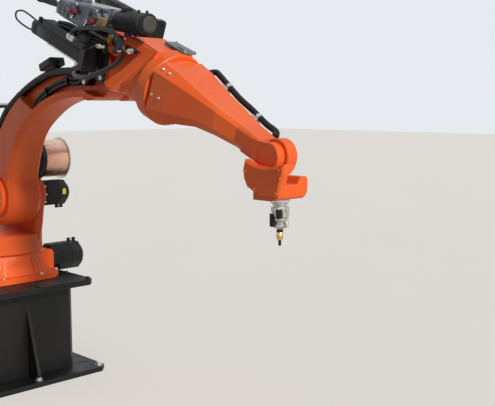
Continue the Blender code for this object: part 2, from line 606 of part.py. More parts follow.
def forearm(joint):
    """The forearm casting: a round rear face, an eight-sided taper and a cheek that carries the bend axis."""
    length = ELBOW_TO_WRIST - ROLL_PLANE
    table = np.array(FOREARM)
    table[:, 0] *= length
    table[-1, 0] = length - FOREARM_END
    rings = []
    for x, left, right, up, down, far, near, low in table:
        ring = [(-right + low, -down), (left - low, -down), (left, -down + low), (left, up - far),
                (left - far, up), (-right + near, up), (-right, up - near), (-right, -down + low)]
        rings.append(np.array([(x, y, z) for y, z in ring]))
    casting = piece("forearm", skin("forearm", rings), joint, orange())
    combine(casting, drum("rear", (0.0, 0.0), COLLAR_RADIUS - 0.018, BEARING, 0.034, 40, 0.006, "X"))
    neck = [(length - 0.150, -0.044), (length, -0.052), (length, 0.052), (length - FOREARM_END, 0.034),
            (length - 0.150, 0.036)]
    combine(casting, slab("neck", neck, CHEEK_END_Y[0] + 0.001, CHEEK_END_Y[1]))
    combine(casting, drum("eye", (length, 0.0), CHEEK_END_RADIUS, CHEEK_END_Y[0], CHEEK_END_Y[1], 32, 0.004))

    stations, left, up, far = table[:, 0], table[:, 1], table[:, 3], table[:, 5]
    diagonal = math.sqrt(0.5)

    def over(x, height, along=0.0):
        """A point off the left upper face, which slopes at 45 degrees: height off it and along it outwards."""
        y = float(np.interp(x, stations, left - far / 2.0))
        z = float(np.interp(x, stations, up - far / 2.0))
        return x, y + (height + along) * diagonal, z + (height - along) * diagonal

    fall = np.diff(left + up - far) * diagonal / np.diff(stations)
    lift = (CONDUIT_RADIUS + CLAMP_THICK + 2.0 * SEAT) * math.hypot(1.0, np.abs(fall).max())
    knots = [0.11 * length] + list(stations[1:5]) + [0.82 * length]
    tube("forearm_conduit", [over(x, lift) for x in knots], CONDUIT_RADIUS, joint, rubber())
    for number, share in enumerate((0.29, 0.64), start=1):
        name = f"conduit_clamp_{number}"
        saddle = []
        for x in (share * length - 0.02, share * length + 0.02):
            saddle.append([over(x, SEAT, -0.022), over(x, SEAT, 0.022), over(x, CLAMP_THICK, 0.022),
                           over(x, CLAMP_THICK, -0.022)])
        piece(name, skin(name, saddle), joint, grey_metal(), smooth=False)


def wrist(joint):
    """The hooked wrist housing: a head on the bend axis, a side plate, a web and a foot for the flange."""
    reach = FLANGE_REACH - BEARING
    casting = piece("wrist_housing", drum("wrist_housing", (0.0, 0.0), WRIST_HEAD_RADIUS, WRIST_HEAD_Y[0],
                                          WRIST_HEAD_Y[1], 36, 0.004), joint, orange())
    combine(casting, slab("plate", WRIST_PLATE, WRIST_PLATE_Y[0], WRIST_PLATE_Y[1], 0.008))
    combine(casting, slab("web", WRIST_WEB, -0.050, 0.062, 0.0, "Z"))
    foot = [(WRIST_FOOT_X, WRIST_PLATE_Y[0] + 0.012), (reach, WRIST_PLATE_Y[0] + 0.012), (reach, 0.080),
            (0.160, 0.098), (0.140, 0.106), (0.090, 0.106), (0.084, 0.098), (0.084, 0.066), (0.092, 0.060),
            (WRIST_FOOT_X, 0.045)]
    combine(casting, slab("foot", foot, -0.055, 0.060, 0.010, "Z"))


def torch(joint):
    """Flange disc, torch mount, torch body, brass nozzle and contact tip, all on the flange axis."""
    levels = [("flange_disc", FLANGE_RADIUS, 0.0, FLANGE_THICK, steel(), 32),
              ("torch_mount", 0.030, FLANGE_THICK + SEAT, 0.040, black_paint(), 24),
              ("torch_body", TORCH_RADIUS, 0.040 + SEAT, 0.125, grey_metal(), 24),
              ("torch_nozzle", 0.014, 0.125 + SEAT, 0.165, paint("brass", (0.7, 0.5, 0.2), 0.35, 1.0), 20),
              ("torch_tip", 0.006, 0.165 + SEAT, 0.190, black_paint(), 16)]
    for name, radius, low, high, finish, sides in levels:
        piece(name, drum(name, (0.0, 0.0), radius, low, high, sides, 0.002, "X"), joint, finish)


def build():
    clear_scene()
    root = frame("base_axis", None, (0.0, 0.0, 0.0))
    plinth(root)
    base(root)
    turn = frame("turret_axis", root, (0.0, 0.0, PLINTH_HEIGHT + BASE_HEIGHT))
    turret(turn)
    spool_bracket(turn)
    spool(frame("spool_axis", turn, (SPOOL_X, SPOOL_Y, SPOOL_Z)))
    shoulder = frame("shoulder_axis", turn, (SHOULDER_X, 0.0, SHOULDER_Z), LINK_LEAN)
    link_arm(shoulder)
    link_hoses(shoulder)
    elbow = frame("elbow_axis", shoulder, (0.0, 0.0, LINK_LENGTH), HOUSING_PITCH - LINK_LEAN)
    housing(elbow)
    wrist_motors(elbow)
    feeder(elbow)
    arched_hose(elbow)
    roll = frame("roll_axis", elbow, (ROLL_PLANE, 0.0, AXIS_RISE))
    forearm(roll)
    bend = frame("bend_axis", roll, (ELBOW_TO_WRIST - ROLL_PLANE, 0.0, 0.0), BEND)
    wrist(bend)
    torch(frame("flange_axis", bend, (FLANGE_REACH, 0.0, 0.0)))


build()
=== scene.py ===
"""Welding robot arm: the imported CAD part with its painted, cast, wound and rubber surfaces."""
import math

import bpy
import numpy as np
from mathutils import Matrix, Vector


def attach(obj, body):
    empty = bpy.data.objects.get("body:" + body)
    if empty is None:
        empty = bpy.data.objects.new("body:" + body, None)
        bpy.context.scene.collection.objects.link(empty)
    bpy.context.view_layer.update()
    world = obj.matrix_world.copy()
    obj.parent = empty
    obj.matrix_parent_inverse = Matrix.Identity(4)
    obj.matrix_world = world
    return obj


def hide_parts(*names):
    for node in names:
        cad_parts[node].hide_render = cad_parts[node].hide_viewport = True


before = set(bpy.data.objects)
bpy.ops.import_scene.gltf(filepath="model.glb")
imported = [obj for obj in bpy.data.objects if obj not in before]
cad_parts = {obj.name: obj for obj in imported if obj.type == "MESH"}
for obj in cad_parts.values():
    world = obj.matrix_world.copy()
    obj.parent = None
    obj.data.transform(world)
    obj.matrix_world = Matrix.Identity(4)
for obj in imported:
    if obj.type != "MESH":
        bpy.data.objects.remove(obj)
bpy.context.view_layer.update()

# The light: the way to the sun, its strength, colour and width in radians, then the sky's strength and its
# colour as light and as background.
SUN_FROM = (0.90, -0.06, 0.43)
SUN_POWER = 3.2
SUN_COLOUR = (1.0, 0.94, 0.84)
SUN_WIDTH = 0.14
SKY_POWER = 0.17
SKY_LIGHT = (0.80, 0.88, 1.0)
SKY_SEEN = (0.80, 0.83, 0.86)

# The floor: its width in metres, the colour of the light it throws back, and its glow where it is seen.
FLOOR_SIZE = 80.0
FLOOR_LIGHT = (0.55, 0.54, 0.52)
FLOOR_GLOW = 0.16

# The camera fitted to the photograph: lens and sensor in millimetres, place in metres, heading, pitch and how
# far it sees.
LENS, SENSOR = 61.1, 36.0
CAMERA_PLACE = (4.58, -2.43, 1.60)
CAMERA_HEADING = (-0.7121, 0.7021)
CAMERA_PITCH = math.radians(6.65)
FARTHEST = 200.0

# How strongly paint, rubber and plastic mirror, on the shader's scale.
MIRRORING = 0.3


class Value:
    """One output of a material's nodes. Arithmetic on it adds Math nodes, and node() adds any other."""

    def __init__(self, tree, socket=None):
        self.tree = tree
        self.socket = socket

    def node(self, kind, settings=None, inputs=None, output=0):
        """A node of that kind: its settings first, then numbers or links for its sockets."""
        added = self.tree.nodes.new("ShaderNode" + kind)
        for name, setting in (settings or {}).items():
            setattr(added, name, setting)
        for name, value in (inputs or {}).items():
            if isinstance(value, Value):
                self.tree.links.new(value.socket, added.inputs[name])
            elif added.inputs[name].type == "RGBA":
                added.inputs[name].default_value = (*value, 1.0)
            else:
                added.inputs[name].default_value = value
        return Value(self.tree, added.outputs[output])

    def maths(self, operation, *values, clamp=False):
        """A Math node on those values; clamp holds its result between 0 and 1."""
        settings = {"operation": operation, "use_clamp": clamp}
        return self.node("Math", settings, dict(enumerate(values)))

    def __add__(self, other):
        return self.maths("ADD", self, other)

    def __radd__(self, other):
        return self.maths("ADD", other, self)

    def __sub__(self, other):
        return self.maths("SUBTRACT", self, other)

    def __rsub__(self, other):
        return self.maths("SUBTRACT", other, self)

    def __mul__(self, other):
        return self.maths("MULTIPLY", self, other)

    def __rmul__(self, other):
        return self.maths("MULTIPLY", other, self)

    def step(self, low, high):
        """0 at low and 1 at high, with a smooth rise or fall between them."""
        inputs = {"Value": self, "From Min": low, "From Max": high}
        return self.node("MapRange", {"interpolation_type": "SMOOTHSTEP"}, inputs)

    def noise(self, place, scale, detail, rough=0.55, twist=0.0):
        """Cloudy noise between 0 and 1: rough is how much its finest parts count, and twist bends it."""
        inputs = {"Vector": place, "Scale": scale, "Detail": detail, "Roughness": rough, "Distortion": twist}
        return self.node("TexNoise", None, inputs)

    def tint(self, share, under, over):
        """The colour under, covered by the colour over where share is 1."""
        inputs = {0: share, 6: under, 7: over}
        return self.node("Mix", {"data_type": "RGBA"}, inputs, output=2)


def material(name, roughness, metallic=0.0, coat=0.0, coat_roughness=0.1):
    """An empty finish: its material, a Value to build from, its place in object coordinates, its shader."""
    finish = bpy.data.materials.new(name)
    finish.use_nodes = True
    tree = finish.node_tree
    shader = tree.nodes["Principled BSDF"]
    shader.inputs["Roughness"].default_value = roughness
    shader.inputs["Metallic"].default_value = metallic
    shader.inputs["Coat Weight"].default_value = coat
    shader.inputs["Coat Roughness"].default_value = coat_roughness
    shader.inputs["Specular IOR Level"].default_value = MIRRORING
    start = Value(tree)
    return finish, start, start.node("TexCoord", output=3), shader


def feed(shader, name, value):
    """Links a value to that input of the shader."""
    value.tree.links.new(value.socket, shader.inputs[name])


def relief(shader, height, depth, normal):
    """Bump of that depth in metres from a height between 0 and 1, on top of that normal."""
    inputs = {"Height": height, "Distance": depth, "Strength": 1.0, "Normal": normal}
    feed(shader, "Normal", height.node("Bump", None, inputs))


def upward(start):
    """How far a face looks up: 1 on a level top, 0 on a wall, negative underneath."""
    normal = start.node("NewGeometry", output=1)
    return start.node("SeparateXYZ", None, {"Vector": normal}, output=2)


def softened(start, radius):
    """The surface's normal with its edges rounded by that radius, and how near an edge each point is."""
    normal = start.node("Bevel", {"samples": 4}, {"Radius": radius})
    flat = start.node("NewGeometry", output=1)
    along = start.node("VectorMath", {"operation": "DOT_PRODUCT"}, {0: normal, 1: flat}, output=1)
    return normal, (1.0 - along).step(0.01, 0.16)


def enamel(name, colour, worn, dirt):
    """Sprayed enamel on a casting: rounded edges worn paler, faint fading, dust on top, a pebbled skin."""
    gloss, dust, primer = 0.44, (0.46, 0.31, 0.20), (0.10, 0.035, 0.02)
    finish, start, place, shader = material(name, gloss, coat=0.12, coat_roughness=0.34)
    normal, edge = softened(start, 0.0045)
    cloud = start.noise(place, 1.7, 4.0, 0.55)
    fine = start.noise(place, 34.0, 6.0, 0.62)
    peel = start.noise(place, 240.0, 2.0, 0.5)
    faded = start.tint(cloud.step(0.46, 0.72) * 0.40, colour, worn)
    rubbed = start.tint(edge * fine.step(0.44, 0.60) * 0.65, faded, worn)
    soot = fine.step(0.56, 0.70) * cloud.step(0.52, 0.38)
    dusty = upward(start).step(0.45, 0.98) * start.noise(place, 8.0, 6.0, 0.66).step(0.46, 0.74)
    dusted = start.tint(dusty * 0.22, start.tint(soot * 0.22, rubbed, dirt), dust)
    chip = start.noise(place, 19.0, 9.0, 0.74).step(0.715, 0.722)
    feed(shader, "Base Color", start.tint(chip, dusted, primer))
    feed(shader, "Roughness", gloss + 0.16 * fine + 0.22 * dusty + 0.2 * chip - 0.08)
    relief(shader, fine * 0.40 + peel * 0.25 + (1.0 - chip) * 0.35, 0.0005, normal)
    return finish


def bare_metal(name, colour, stain, roughness, grain=0.0003):
    """Machined or cast metal: rounded edges, a fine grain, dull stains and a little pitting."""
    finish, start, place, shader = material(name, roughness, metallic=1.0)
    normal, edge = softened(start, 0.0012)
    fine = start.noise(place, 90.0, 5.0, 0.6)
    stained = start.noise(place, 26.0, 7.0, 0.68).step(0.48, 0.72) * (1.0 - edge)
    pits = start.noise(place, 260.0, 2.0, 0.5).step(0.62, 0.70)
    feed(shader, "Base Color", start.tint(stained * 0.6 + pits * 0.2, colour, stain))
    feed(shader, "Roughness", roughness + 0.28 * stained + 0.15 * (fine - 0.5))
    feed(shader, "Metallic", 1.0 - 0.40 * stained)
    relief(shader, fine * 0.5 + (1.0 - pits) * 0.5, grain, normal)
    return finish


def dull(name, colour, dust, roughness, grain=0.0003, amount=0.30, wear=0.35):
    """Rubber, plastic or satin paint: rounded edges rubbed paler, dust settled on top, scuffs."""
    finish, start, place, shader = material(name, roughness)
    normal, edge = softened(start, 0.0022)
    fine = start.noise(place, 70.0, 5.0, 0.6)
    settled = upward(start).step(0.1, 0.95) * start.noise(place, 14.0, 6.0, 0.65).step(0.40, 0.74)
    scuff = start.noise(place, 31.0, 8.0, 0.72).step(0.64, 0.71)
    shown = start.tint(settled * amount + scuff * 0.14, colour, dust)
    feed(shader, "Base Color", start.tint(edge * wear * fine, shown, dust))
    feed(shader, "Roughness", roughness + 0.20 * settled + 0.12 * (fine - 0.5))
    relief(shader, fine, grain, normal)
    return finish


def creased(name, colour, pale):
    """Blue-grey castings under a thin creased film, glossy between the creases: the pale colour is painted
    highlight along the sharp creases, on rougher patches and on rounded edges.
    """
    finish, start, place, shader = material(name, 0.24, coat=0.5, coat_roughness=0.12)
    normal, edge = softened(start, 0.0030)
    folds = start.noise(place, 17.0, 5.0, 0.62, 1.4)
    # A thin line along each crease, raised by the bump and painted pale as a highlight.
    ridge = 1.0 - start.maths("ABSOLUTE", folds - 0.5).step(0.0, 0.085)
    # Rougher patches of the film, also painted pale as a highlight.
    rough_patch_highlight = start.noise(place, 42.0, 4.0, 0.6).step(0.50, 0.66)
    # Painted highlight: the pale colour lies on the crease lines, the rougher patches and the rounded edges.
    feed(shader, "Base Color", start.tint(ridge * 0.50 + rough_patch_highlight * 0.22 + edge * 0.35, colour, pale))
    feed(shader, "Roughness", 0.22 + 0.30 * rough_patch_highlight)
    relief(shader, folds * 0.7 + ridge * 0.3, 0.0045, normal)
    return finish


ORANGE = enamel("orange_enamel", (0.84, 0.115, 0.015), (0.88, 0.19, 0.045), (0.30, 0.045, 0.015))
BLACK = dull("black_enamel", (0.0045, 0.0045, 0.005), (0.060, 0.056, 0.052), 0.44, amount=0.12, wear=0.28)
RUBBER = dull("hose_rubber", (0.0045, 0.0045, 0.0045), (0.060, 0.056, 0.050), 0.34, amount=0.14, wear=0.25)
STEEL = bare_metal("bright_steel", (0.64, 0.64, 0.63), (0.24, 0.22, 0.20), 0.28)
ALLOY = bare_metal("cast_alloy", (0.52, 0.50, 0.47), (0.16, 0.13, 0.11), 0.40, grain=0.0008)
COPPER = bare_metal("copper_wire", (0.93, 0.64, 0.50), (0.70, 0.40, 0.27), 0.30)
BRASS = bare_metal("brass", (0.70, 0.47, 0.20), (0.25, 0.15, 0.07), 0.32)
RED = dull("red_plastic", (0.17, 0.014, 0.020), (0.22, 0.10, 0.10), 0.42)
# The second colour is the film's painted highlight.
FEEDER_CAST = creased("feeder_casting", (0.022, 0.034, 0.052), (0.26, 0.31, 0.37))
CAST_GREY = dull("grey_casting", (0.060, 0.056, 0.050), (0.24, 0.22, 0.19), 0.55,
                 grain=0.0010, amount=0.4, wear=0.6)
IVORY = dull("ivory_plastic", (0.74, 0.72, 0.66), (0.40, 0.37, 0.33), 0.38)
YELLOW = dull("yellow_plastic", (0.62, 0.50, 0.04), (0.35, 0.28, 0.14), 0.42)
BLUE = dull("blue_plastic", (0.028, 0.055, 0.24), (0.20, 0.23, 0.33), 0.34)
COVER_GREY = dull("cover_plate", (0.13, 0.16, 0.19), (0.36, 0.37, 0.38), 0.40, amount=0.3, wear=0.6)
TAN = dull("tan_paint", (0.36, 0.25, 0.11), (0.46, 0.36, 0.22), 0.45)

# The finish of each slot that the part's source paints its nodes with.
FINISHES = {"orange_paint": ORANGE, "black_paint": BLACK, "black_rubber": RUBBER, "bright_steel": STEEL,
            "grey_alloy": ALLOY, "red_plastic": RED, "copper_wire": COPPER, "brass": BRASS}


TAU = 2.0 * math.pi
ORIGIN = (0.0, 0.0, 0.0)
AHEAD, BACK = (1.0, 0.0, 0.0), (-1.0, 0.0, 0.0)
LEFT, RIGHT = (0.0, 1.0, 0.0), (0.0, -1.0, 0.0)
UP, DOWN = (0.0, 0.0, 1.0), (0.0, 0.0, -1.0)


def standing(place, pitch=0.0):
    """A joint's frame: its place, with X turned down by pitch degrees about the Y axis."""
    return np.array(Matrix.Translation(place) @ Matrix.Rotation(math.radians(pitch), 4, "Y"))


# The joints' frames at rest, as the part's source has them, and the link arm's length from joint to joint.
WORLD = standing(ORIGIN)
TURRET = standing((0.0, 0.0, 0.735))
LINK = standing((0.175, 0.0, 1.08), 53.4)
ELBOW = standing((1.090212, 0.0, 1.759696), 22.0)
ROLL = standing((1.654388, 0.0, 1.661179), 22.0)
BEND = standing((2.299707, 0.0, 1.400453), 90.0)
FLANGE = standing((2.299707, 0.0, 1.229453), 90.0)
LINK_LENGTH = 1.14


def facing(place, direction, up=UP):
    """A frame at place whose Z points along direction and whose Y leans towards up."""
    ahead = np.array(direction, float) / np.linalg.norm(direction)
    across = np.cross(up, ahead)
    if np.linalg.norm(across) < 0.01:
        across = np.cross(AHEAD, ahead)
    across /= np.linalg.norm(across)
    home = np.eye(4)
    home[:3, 0], home[:3, 1], home[:3, 2], home[:3, 3] = across, np.cross(ahead, across), ahead, place
    return home


def turned(profile, sides, power=2.0):
    """Rings round Z, one for each (radius, height); a power above 2 squares the circle off."""
    angle = (np.arange(sides) + 0.5) * TAU / sides
    wide, deep = np.cos(angle), np.sin(angle)
    swell = (np.abs(wide) ** power + np.abs(deep) ** power) ** (-1.0 / power)
    radius, height = np.asarray(profile, float).T
    rings = np.empty((len(radius), sides, 3))
    rings[:, :, 0] = radius[:, None] * wide * swell
    rings[:, :, 1] = radius[:, None] * deep * swell
    rings[:, :, 2] = height[:, None]
    return rings


def drawn(outline, levels):
    """Rings round an outline of (x, y): at each (height, inset) every corner moves in along its mitre."""
    flat = np.asarray(outline, float)
    ahead = np.roll(flat, -1, axis=0) - flat
    ahead /= np.linalg.norm(ahead, axis=1)[:, None]
    outward = np.stack([ahead[:, 1], -ahead[:, 0]], axis=1)
    before = np.roll(outward, 1, axis=0)
    mitre = (outward + before) / (1.0 + (outward * before).sum(axis=1))[:, None]
    height, inset = np.asarray(levels, float).T
    rings = np.empty((len(height), len(flat), 3))
    rings[:, :, :2] = flat - inset[:, None, None] * mitre
    rings[:, :, 2] = height[:, None]
    return rings


def oblong(width, depth, corner):
    """Outline of a rectangle about the origin: a quarter circle of four points at each corner."""
    steps = 4
    angle = np.linspace(0.0, TAU / 4.0, steps)
    turns = (angle[None] + np.arange(4)[:, None] * TAU / 4.0).ravel()
    sides = np.repeat([[1, 1], [-1, 1], [-1, -1], [1, -1]], steps, axis=0)
    middle = sides * (width / 2.0 - corner, depth / 2.0 - corner)
    return middle + corner * np.stack([np.cos(turns), np.sin(turns)], axis=1)


def block(width, depth, height, edge, corner=0.004):
    """Rings of a rectangular block that stands on the origin, its corners round and its top edge bevelled."""
    corner = max(corner, edge + 0.0004)
    return drawn(oblong(width, depth, corner), [(0.0, 0.0), (height - edge, 0.0), (height, edge)])


def course(points, count):
    """Places evenly spaced on a cubic curve through the points, parallel at each to its neighbours' chord."""
    knots = np.asarray(points, float)
    ends = np.concatenate([[2 * knots[0] - knots[1]], knots, [2 * knots[-1] - knots[-2]]])
    place = np.linspace(0.0, len(knots) - 1.0, 16 * len(knots))
    index = np.minimum(place.astype(int), len(knots) - 2)
    t = (place - index)[:, None]
    a, b, c, d = (ends[index + k] for k in range(4))
    square, cube = 2 * a - 5 * b + 4 * c - d, 3 * b - a - 3 * c + d
    fine = 0.5 * (2 * b + (c - a) * t + square * t ** 2 + cube * t ** 3)
    run = np.concatenate([[0.0], np.cumsum(np.linalg.norm(np.diff(fine, axis=0), axis=1))])
    spots = np.linspace(0.0, run[-1], count)
    return np.stack([np.interp(spots, run, fine[:, k]) for k in range(3)], axis=1)


def swept(route, radius, sides, level=LEFT):
    """Rings square to a route, each measured from the direction nearest to level."""
    line = np.asarray(route, float)
    ahead = np.gradient(line, axis=0)
    ahead /= np.linalg.norm(ahead, axis=1)[:, None]
    first = np.asarray(level, float) - (ahead @ np.asarray(level, float))[:, None] * ahead
    first /= np.linalg.norm(first, axis=1)[:, None]
    second = np.cross(ahead, first)
    angle = np.arange(sides) * TAU / sides
    spread = np.cos(angle)[None, :, None] * first[:, None] + np.sin(angle)[None, :, None] * second[:, None]
    return line[:, None] + np.broadcast_to(radius, (len(line),))[:, None, None] * spread


def corrugated(line, radius, depth, per_rib, sides):
    """Rings of a corrugated hose along line: round ridges, per_rib rings to each, with valleys that deep."""
    wave = 0.5 - 0.5 * np.cos(np.arange(len(line)) * TAU / per_rib)
    return swept(line, radius - depth * (1.0 - wave ** 0.6), sides)


class Shape:
    """A mesh gathered from closed grids of points, each put in place by a frame inside the shape's own."""

    def __init__(self, home):
        self.home = np.asarray(home, float)
        self.points, self.faces, self.count = [], [], 0

    def add(self, rings, place=None):
        """Quads from each ring to the next, and a flat face over the first and the last ring."""
        rows, sides = rings.shape[:2]
        index = self.count + np.arange(rows * sides).reshape(rows, sides)
        onward = np.roll(index, -1, axis=1)
        quads = np.stack([index[:-1], onward[:-1], onward[1:], index[1:]], axis=-1).reshape(-1, 4)
        self.faces += quads.tolist() + [index[0][::-1].tolist(), index[-1].tolist()]
        spot = self.home if place is None else self.home @ place
        self.points.append(rings.reshape(-1, 3) @ spot[:3, :3].T + spot[:3, 3])
        self.count += rows * sides
        return self

    def hex_bolts(self, places, direction, size):
        """Six-sided bolt heads of that corner radius on round washers."""
        washer = [(1.35 * size, -0.001), (1.35 * size, 0.20 * size), (1.2 * size, 0.30 * size)]
        for place in places:
            spot = facing(place, direction)
            self.add(turned(washer, 14), spot)
            self.add(turned([(size, 0.2 * size), (size, 0.85 * size), (0.80 * size, size)], 6), spot)

    def cap_screws(self, places, direction, size):
        """Round socket heads of that radius with their sockets open."""
        head = [(size, -0.001), (size, 0.85 * size), (0.88 * size, size), (0.55 * size, size),
                (0.5 * size, 0.45 * size)]
        for place in places:
            self.add(turned(head, 12), facing(place, direction))


def ring_places(radius, angles, level, centre=(0.0, 0.0), axis="Z"):
    """Places on a circle about an axis, at that level along it."""
    turn = np.radians(np.asarray(list(angles), float))
    first, second = centre[0] + radius * np.cos(turn), centre[1] + radius * np.sin(turn)
    flat = np.full(len(turn), level)
    order = {"X": (flat, first, second), "Y": (first, flat, second), "Z": (first, second, flat)}[axis]
    return np.stack(order, axis=1)


def made(name, shape, finish, body, replaced=(), sharp=34.0):
    """Adds a finished piece: smooth where its faces meet at less than sharp degrees, riding on its body."""
    mesh = bpy.data.meshes.new(name)
    mesh.from_pydata(np.concatenate(shape.points).tolist(), [], shape.faces)
    mesh.polygons.foreach_set("use_smooth", [True] * len(mesh.polygons))
    mesh.set_sharp_from_angle(angle=math.radians(sharp))
    mesh.materials.append(finish)
    piece = bpy.data.objects.new(name, mesh)
    bpy.context.scene.collection.objects.link(piece)
    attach(piece, body)
    if replaced:
        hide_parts(*replaced)


# A frame for outlines in (x, z) as seen from the arm's right.
SIDE = facing(ORIGIN, RIGHT)

# Routes of the link arm's hoses in its frame: x, then z as a share of its length. Both run at one y.
UPPER_HOSE = ((-0.336, 0.2155), (-0.336, 0.230), (-0.348, 0.307), (-0.335, 0.421), (-0.298, 0.570),
              (-0.230, 0.730), (-0.138, 0.852), (-0.085, 0.905), (-0.085, 0.9427))
LOWER_HOSE = ((-0.181, 0.541), (-0.191, 0.558), (-0.184, 0.614), (-0.163, 0.693), (-0.134, 0.762),
              (-0.090, 0.838), (-0.040, 0.895), (-0.040, 0.9427))
HOSE_SIDE = -0.0533

# Radii of the hoses and the cable in metres.
UPPER_RADIUS, STRAND_RADIUS = 0.021, 0.0115
ARCH_RADIUS, CONDUIT_RADIUS, LINER_RADIUS, CABLE_RADIUS = 0.011, 0.014, 0.017, 0.0048

# The arched hose, the feeder and its motor's seat in the elbow's frame, the conduit in the forearm's.
ARCH_HOSE = ((0.0, -0.109, 0.0), (0.0, -0.130, 0.0), (0.020, -0.170, 0.0), (0.090, -0.200, 0.008),
             (0.170, -0.212, 0.034), (0.250, -0.215, 0.080), (0.330, -0.215, 0.135), (0.389, -0.215, 0.186),
             (0.412, -0.215, 0.243), (0.365, -0.215, 0.285), (0.280, -0.215, 0.294), (0.147, -0.215, 0.260),
             (0.050, -0.215, 0.226), (0.016, -0.215, 0.198), (0.016, -0.215, 0.1863))
FEEDER = ((-0.180, 0.2196), (0.060, 0.2196), (0.165, 0.2616), (0.190, 0.2996), (0.165, 0.3616),
          (-0.185, 0.3046), (-0.205, 0.2746), (-0.205, 0.2316))
FEEDER_DRIVE = standing((0.206, -0.120, 0.3196), 75.6)
CONDUIT = ((0.0546, 0.1227, 0.1056), (0.0766, 0.1407, 0.1216), (0.1197, 0.1364, 0.1164),
           (0.2798, 0.1114, 0.0844), (0.3898, 0.1004, 0.0694), (0.4962, 0.0894, 0.0514),
           (0.5707, 0.0784, 0.0477), (0.5907, 0.0624, 0.0337))


def upright(outline, low, high, edge=0.002):
    """Rings for the frame SIDE: a slab with that outline in (x, z), from y = low to high, edges bevelled."""
    return drawn(outline, [(-high, edge), (edge - high, 0.0), (-low - edge, 0.0), (-low, edge)])


def link_hoses():
    """Corrugated hoses over the link's back, one above a pair, with their bands and a plate behind them."""
    upper = course([(x, HOSE_SIDE, share * LINK_LENGTH) for x, share in UPPER_HOSE], 640)
    made("upper_link_hose", Shape(LINK).add(corrugated(upper, UPPER_RADIUS, 0.0013, 5, 16)), RUBBER,
         "link_arm", ["upper_hose"])
    lower = course([(x, HOSE_SIDE, share * LINK_LENGTH) for x, share in LOWER_HOSE], 420)
    ahead = np.gradient(lower, axis=0)
    across = np.cross(ahead, LEFT)
    across /= np.linalg.norm(across, axis=1)[:, None]
    pair = Shape(LINK)
    for offset in (-0.0112, 0.0112):
        pair.add(corrugated(lower + offset * across, STRAND_RADIUS, 0.0008, 4, 14))
    made("lower_link_hoses", pair, RUBBER, "link_arm", ["lower_hose"])
    flat = upper[(upper[:, 2] > 0.47) & (upper[:, 2] < 1.045)][::12, ::2]
    lie = np.gradient(flat, axis=0)
    inward = np.stack([lie[:, 1], -lie[:, 0]], axis=1) / np.linalg.norm(lie, axis=1)[:, None]
    guard = np.concatenate([flat + 0.004 * inward, (flat + 0.058 * inward)[::-1]])[::-1]
    made("hose_guard", Shape(LINK).add(upright(guard, -0.0315, -0.0215, 0.001), SIDE), ORANGE, "link_arm")
    bands = Shape(LINK)
    rib = [(0.0, -0.0045), (0.0014, -0.0035), (0.0014, 0.0035), (0.0, 0.0045)]
    for line, spots, radius in ((upper, (0.30, 0.52, 0.74, 0.93), 0.0205), (lower, (0.30, 0.72), 0.0228)):
        lie = np.gradient(line, axis=0)
        for spot in (int(share * len(line)) for share in spots):
            bands.add(turned([(radius + r, h) for r, h in rib], 24), facing(line[spot], lie[spot]))
    made("hose_bands", bands, BLACK, "link_arm")


def link_fittings():
    """Bolts of the hose clamps and the shoulder cover, and a junction box on a bracket at the link's back."""
    bolts = Shape(LINK)
    bolts.hex_bolts([(x, -0.0863, z) for x in (-0.090, 0.024) for z in (1.092, 1.155)], RIGHT, 0.0085)
    bolts.hex_bolts([(-0.394, y, 0.350) for y in (-0.090, 0.009)], BACK, 0.0085)
    bolts.cap_screws(ring_places(0.100, range(0, 360, 45), -0.132, axis="Y"), RIGHT, 0.0065)
    made("link_bolts", bolts, STEEL, "link_arm")
    along, away = np.array((0.334, 0.943)), np.array((-0.943, 0.334))
    middle = np.array((-0.276, 0.852))

    def corners(length, low, high):
        """Corners in (x, z) of a rectangle: its half length, and its two levels off the box's middle."""
        return [middle + sign * length * along + level * away
                for sign, level in ((-1, low), (1, low), (1, high), (-1, high))]

    box = Shape(LINK)
    box.add(upright(corners(0.056, -0.019, 0.021), -0.078, 0.010, 0.003), SIDE)
    box.add(upright(corners(0.052, -0.015, 0.017), -0.083, -0.077, 0.002), SIDE)
    box.add(upright(corners(0.018, -0.072, -0.012), -0.012, 0.004, 0.001), SIDE)
    end = middle + 0.054 * along
    box.add(turned([(0.009, 0.0), (0.009, 0.012), (0.006, 0.022)], 12),
            facing((end[0], -0.035, end[1]), (along[0], 0.0, along[1])))
    made("link_junction_box", box, BLACK, "link_arm")


def servo(name, home, body, replaced, across, length, ribs, label=None, plugs=90.0):
    """An eight-sided servo motor: cooling grooves, a round end cap, two plugs and perhaps a blank plate.

    label gives the plate's place as shares of the motor's width, width and length, and the way it faces.
    plugs is the angle in degrees at which the plugs stand round the motor.
    """
    radius = across / 2.0 / math.cos(TAU / 16.0)
    levels = [(radius - 0.007, 0.0), (radius, 0.006)]
    for level in np.linspace(0.020, 0.62 * length, ribs):
        levels += [(radius, level), (radius - 0.0045, level + 0.0012), (radius - 0.0045, level + 0.0042),
                   (radius, level + 0.0054)]
    levels += [(radius, length - 0.008), (radius - 0.009, length)]
    shape = Shape(home).add(turned(levels, 8))
    cap = 0.36 * across
    shape.add(turned([(cap, length - 0.002), (cap, length + 0.012), (cap - 0.004, length + 0.017),
                      (cap - 0.012, length + 0.018), (cap - 0.013, length + 0.0155)], 28))
    turn = np.array(Matrix.Rotation(math.radians(plugs), 4, "Z"))
    for level in (0.74 * length, 0.91 * length):
        seat = turn @ facing((across / 2.0 - 0.001, 0.0, level), AHEAD)
        shape.add(turned([(0.0115, 0.0), (0.0115, 0.008), (0.0095, 0.009), (0.0095, 0.013), (0.0125, 0.014),
                          (0.0125, 0.021), (0.008, 0.024), (0.008, 0.017)], 16), seat)
    made(name, shape, BLACK, body, replaced)
    screws = Shape(home)
    screws.cap_screws(ring_places(radius - 0.013, range(45, 406, 90), length - 0.001), UP, 0.0042)
    made(name + "_screws", screws, STEEL, body)
    if label:
        seat = facing((label[0] * across, label[1] * across, label[2] * length), label[3])
        plate = Shape(home).add(block(0.034, 0.022, 0.0009, 0.0003, 0.002), seat)
        made(name + "_plate", plate, YELLOW, body)


